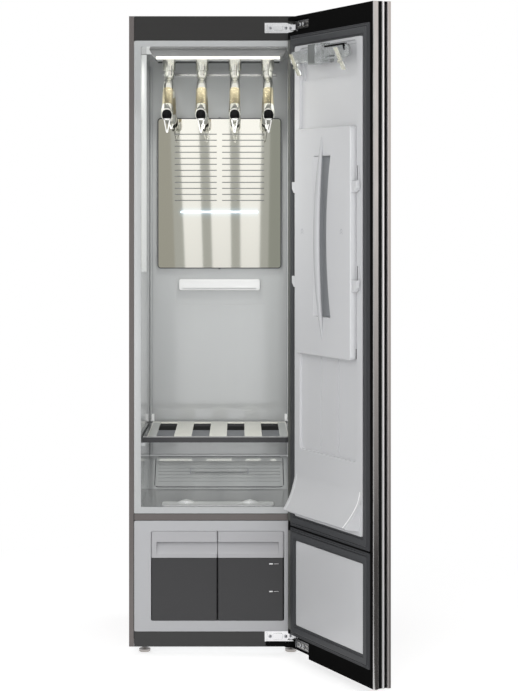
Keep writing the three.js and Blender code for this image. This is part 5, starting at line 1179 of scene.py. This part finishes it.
# A card behind the camera: what the mirror panel shows, bright fields between grey bands.
card = {
    "depth": -7.0, "spread": 2.1905, "aim": (0.0669, 1.293), "height": (0.6, 1.932), "mirror": (1.095, 1.572),
    # Edges at the mirror's top and bottom, and the tone of the field to the right of each.
    "edges": [(-0.300, -0.290, "side"), (-0.1577, -0.1418, "band"), (-0.129, -0.1099, "bright"),
              (-0.0659, -0.0524, "band"), (-0.0346, -0.0224, "bright"), (0.0328, 0.0379, "band"),
              (0.064, 0.0672, "bright"), (0.1349, 0.1279, "band"), (0.1626, 0.1556, "far"),
              (0.29, 0.28, None)],
    # The colour of each tone and its strength at the low edge.
    "tones": {"side": ((0.335, 0.33, 0.29), 0.95), "band": ((0.40, 0.405, 0.38), 0.95),
              "bright": ((1.0, 1.0, 0.98), 0.78), "far": ((0.27, 0.28, 0.25), 0.95)},
    "toneHeights": (0.86, 1.75),
    # Over it, what the glossy back wall shows between the hangers: dark cones that narrow upwards.
    "upper": (-0.30, 0.30), "upperHeight": (1.932, 2.385), "layer": 0.01, "cones": (-0.105, 0.008, 0.118),
    "coneHalf": (0.032, 0.006), "coneTop": 2.17, "coneTone": (0.02, 0.022, 0.022),
    "upperTone": (0.66, 0.70, 0.68), "upperStrengths": (0.3, 0.55), "upperHeights": (1.9, 2.4),
}


def cardPoint(x, height, nearer=0):
    return card["aim"][0] + (x - card["aim"][0]) * card["spread"], card["depth"] + nearer, height


def bandEdge(topEdge, lowEdge):
    mirrorLow, mirrorHigh = card["mirror"]
    pair = []
    for height in card["height"]:
        onMirror = card["aim"][1] + (height - card["aim"][1]) / card["spread"]
        share = (onMirror - mirrorLow) / (mirrorHigh - mirrorLow)
        pair.append(cardPoint(lowEdge + (topEdge - lowEdge) * share, height))
    return pair


order = list(card["tones"])
fields = []
for (top, low, tone), (nextTop, nextLow, _) in zip(card["edges"], card["edges"][1:]):
    first, second = bandEdge(top, low), bandEdge(nextTop, nextLow)
    fields.append(((first[0], second[0], second[1], first[1]), order.index(tone)))
(left, right), (low, high) = card["upper"], card["upperHeight"]
corners = ((left, low), (right, low), (right, high), (left, high))
fields.append(([cardPoint(x, z, -card["layer"]) for x, z in corners], len(order)))
wide, slim = card["coneHalf"]
for x in card["cones"]:
    corners = ((x - wide, low), (x + wide, low), (x + slim, card["coneTop"]), (x - slim, card["coneTop"]))
    fields.append(([cardPoint(across, z, card["layer"]) for across, z in corners], len(order) + 1))
hangCard("mirrorCard", fields,
         [cardPaper("card" + tone.capitalize(), colour, (strength, 1.0), card["toneHeights"])
          for tone, (colour, strength) in card["tones"].items()] +
         [cardPaper("cardUpper", card["upperTone"], card["upperStrengths"], card["upperHeights"]),
          cardPaper("cardCone", card["coneTone"], (1, 1))])

# A flag to the right and on the ground, dark at its foot and pale at its top, which the trim at the door's
# free edge reflects.
flag = {"line": ((0.33, -1.12), (0.70, -1.03), (0.83, -0.70), (0.86, -0.45)), "height": (-0.021, 1.95),
        "ground": ((0.36, -1.15), (0.90, -1.10), (0.95, -0.40), (0.475, -0.74))}
low, high = flag["height"]
fields = [(((*near, low), (*far, low), (*far, high), (*near, high)), 0)
          for near, far in zip(flag["line"], flag["line"][1:])]
hangCard("rightFlag", fields + [([(*spot, low) for spot in flag["ground"]], 0)],
         [cardPaper("flagBrown", (1.0, 0.95, 0.92), (0.1, 1.08), (0.28, 1.35))])

# A card under the shelf, which the slope at the back of the floor reflects: a row of bright and grey fields.
under = {"height": 578, "broad": ((-215, 215), (50, 198)), "row": (199.3, 215.6),
         "edges": (-215, -195, -88.6, -43.2, 38.9, 84.3, 133.3, 163, 184, 215)}
fields = [(lying(*under["broad"], under["height"]), 0)]
for number, span in enumerate(zip(under["edges"], under["edges"][1:])):
    fields.append((lying(span, under["row"], under["height"]), number % 2))
hangCard("shelfCard", fields, [cardPaper("underGrey", (0.97, 1.0, 0.98), (0.7, 0.7)),
                               cardPaper("underBright", (1.0, 1.0, 0.90), (2.7, 2.7))])

# Cards at both sides of what the lower back wall reflects, and one at the edge that the left flange reflects.
sides = {"depth": -1.0, "left": (-0.262, -0.178), "right": (0.162, 0.245), "height": (0.34, 1.045),
         "edge": (-0.31, -0.264), "edgeHeights": (0.1, 0.85, 1.6)}
low, middle, high = sides["edgeHeights"]
fields = [(standing(sides[key], sides["depth"], height), tone) for key, height, tone in (
    ("left", sides["height"], 2), ("right", sides["height"], 3), ("edge", (low, middle), 0),
    ("edge", (middle, high), 1))]
hangCard("sideCards", fields, [cardPaper("edgeRise", (1, 1, 1), (0.8, 1.7), (low, middle)),
                               cardPaper("edgeFall", (1, 1, 1), (1.7, 1.0), (middle, high)),
                               cardPaper("sideGrey", (0.97, 0.99, 1.0), (0.42, 0.5)),
                               cardPaper("sideGreen", (0.97, 1.0, 0.95), (0.35, 0.42))])

# A white card under the hood, and a bright strip seen along the left wall from the front only.
hoodCard = {"across": (-185, 185), "depths": (-156, -62), "height": 1738.6}
hangCard("hoodCard", [(lying(*hoodCard.values()), 0)], [cardPaper("hoodWhite", (1.0, 1.0, 0.97), (1, 1))])
wallStrip = {"across": (-0.2248, -0.206), "depth": 0.03, "height": (1.09, 1.76)}
hangCard("wallStrip", [(standing(*wallStrip.values()), 0)],
         [cardPaper("stripPaper", (0.98, 1.0, 0.985), (0.70, 0.86), wallStrip["height"], oneSided=True)])

# Floor: white for the camera, with the soft shadow that the cabinet casts on it.
ground = {"half": 9, "sink": 0.0002, "colour": (0.8, 0.8, 0.8, 1), "lift": 0.62, "fadeFrom": 0.9,
          "fadeRate": 1.4}
floorMesh = bpy.data.meshes.new("studioFloor")
floorMesh.from_pydata([(x * ground["half"], y * ground["half"], 0) for x, y in square], [], [(0, 1, 2, 3)])
floor = bpy.data.objects.new("studioFloor", floorMesh)
floor.location.z = cadLow.z - ground["sink"]
scene.collection.objects.link(floor)
floorMaterial = bpy.data.materials.new("studioFloor")
floorMaterial.use_nodes = True
floorMesh.materials.append(floorMaterial)
tree = floorMaterial.node_tree
tree.nodes.clear()


def mixShaders(tree, share, first, second):
    made = place(tree, "ShaderNodeMixShader")
    for source, socket in zip((share, first, second), made.inputs):
        join(tree, source, socket)
    return made.outputs[0]


matt = place(tree, "ShaderNodeBsdfDiffuse")
matt.inputs["Color"].default_value = ground["colour"]
lit = place(tree, "ShaderNodeEmission")
lit.inputs["Strength"].default_value = ground["lift"]
both = place(tree, "ShaderNodeAddShader")
join(tree, matt.outputs[0], both.inputs[0])
join(tree, lit.outputs[0], both.inputs[1])
reach = place(tree, "ShaderNodeVectorMath", operation="LENGTH")
join(tree, ownPlace(tree), reach.inputs[0])
past = maths(tree, "SUBTRACT", reach.outputs["Value"], ground["fadeFrom"])
far = maths(tree, "MULTIPLY", past, ground["fadeRate"], clamp=True)
fade = mixShaders(tree, far, both.outputs[0], place(tree, "ShaderNodeEmission").outputs[0])
choice = mixShaders(tree, seenDirectly(tree), matt.outputs[0], fade)
join(tree, choice, place(tree, "ShaderNodeOutputMaterial").inputs["Surface"])
print("studio set")
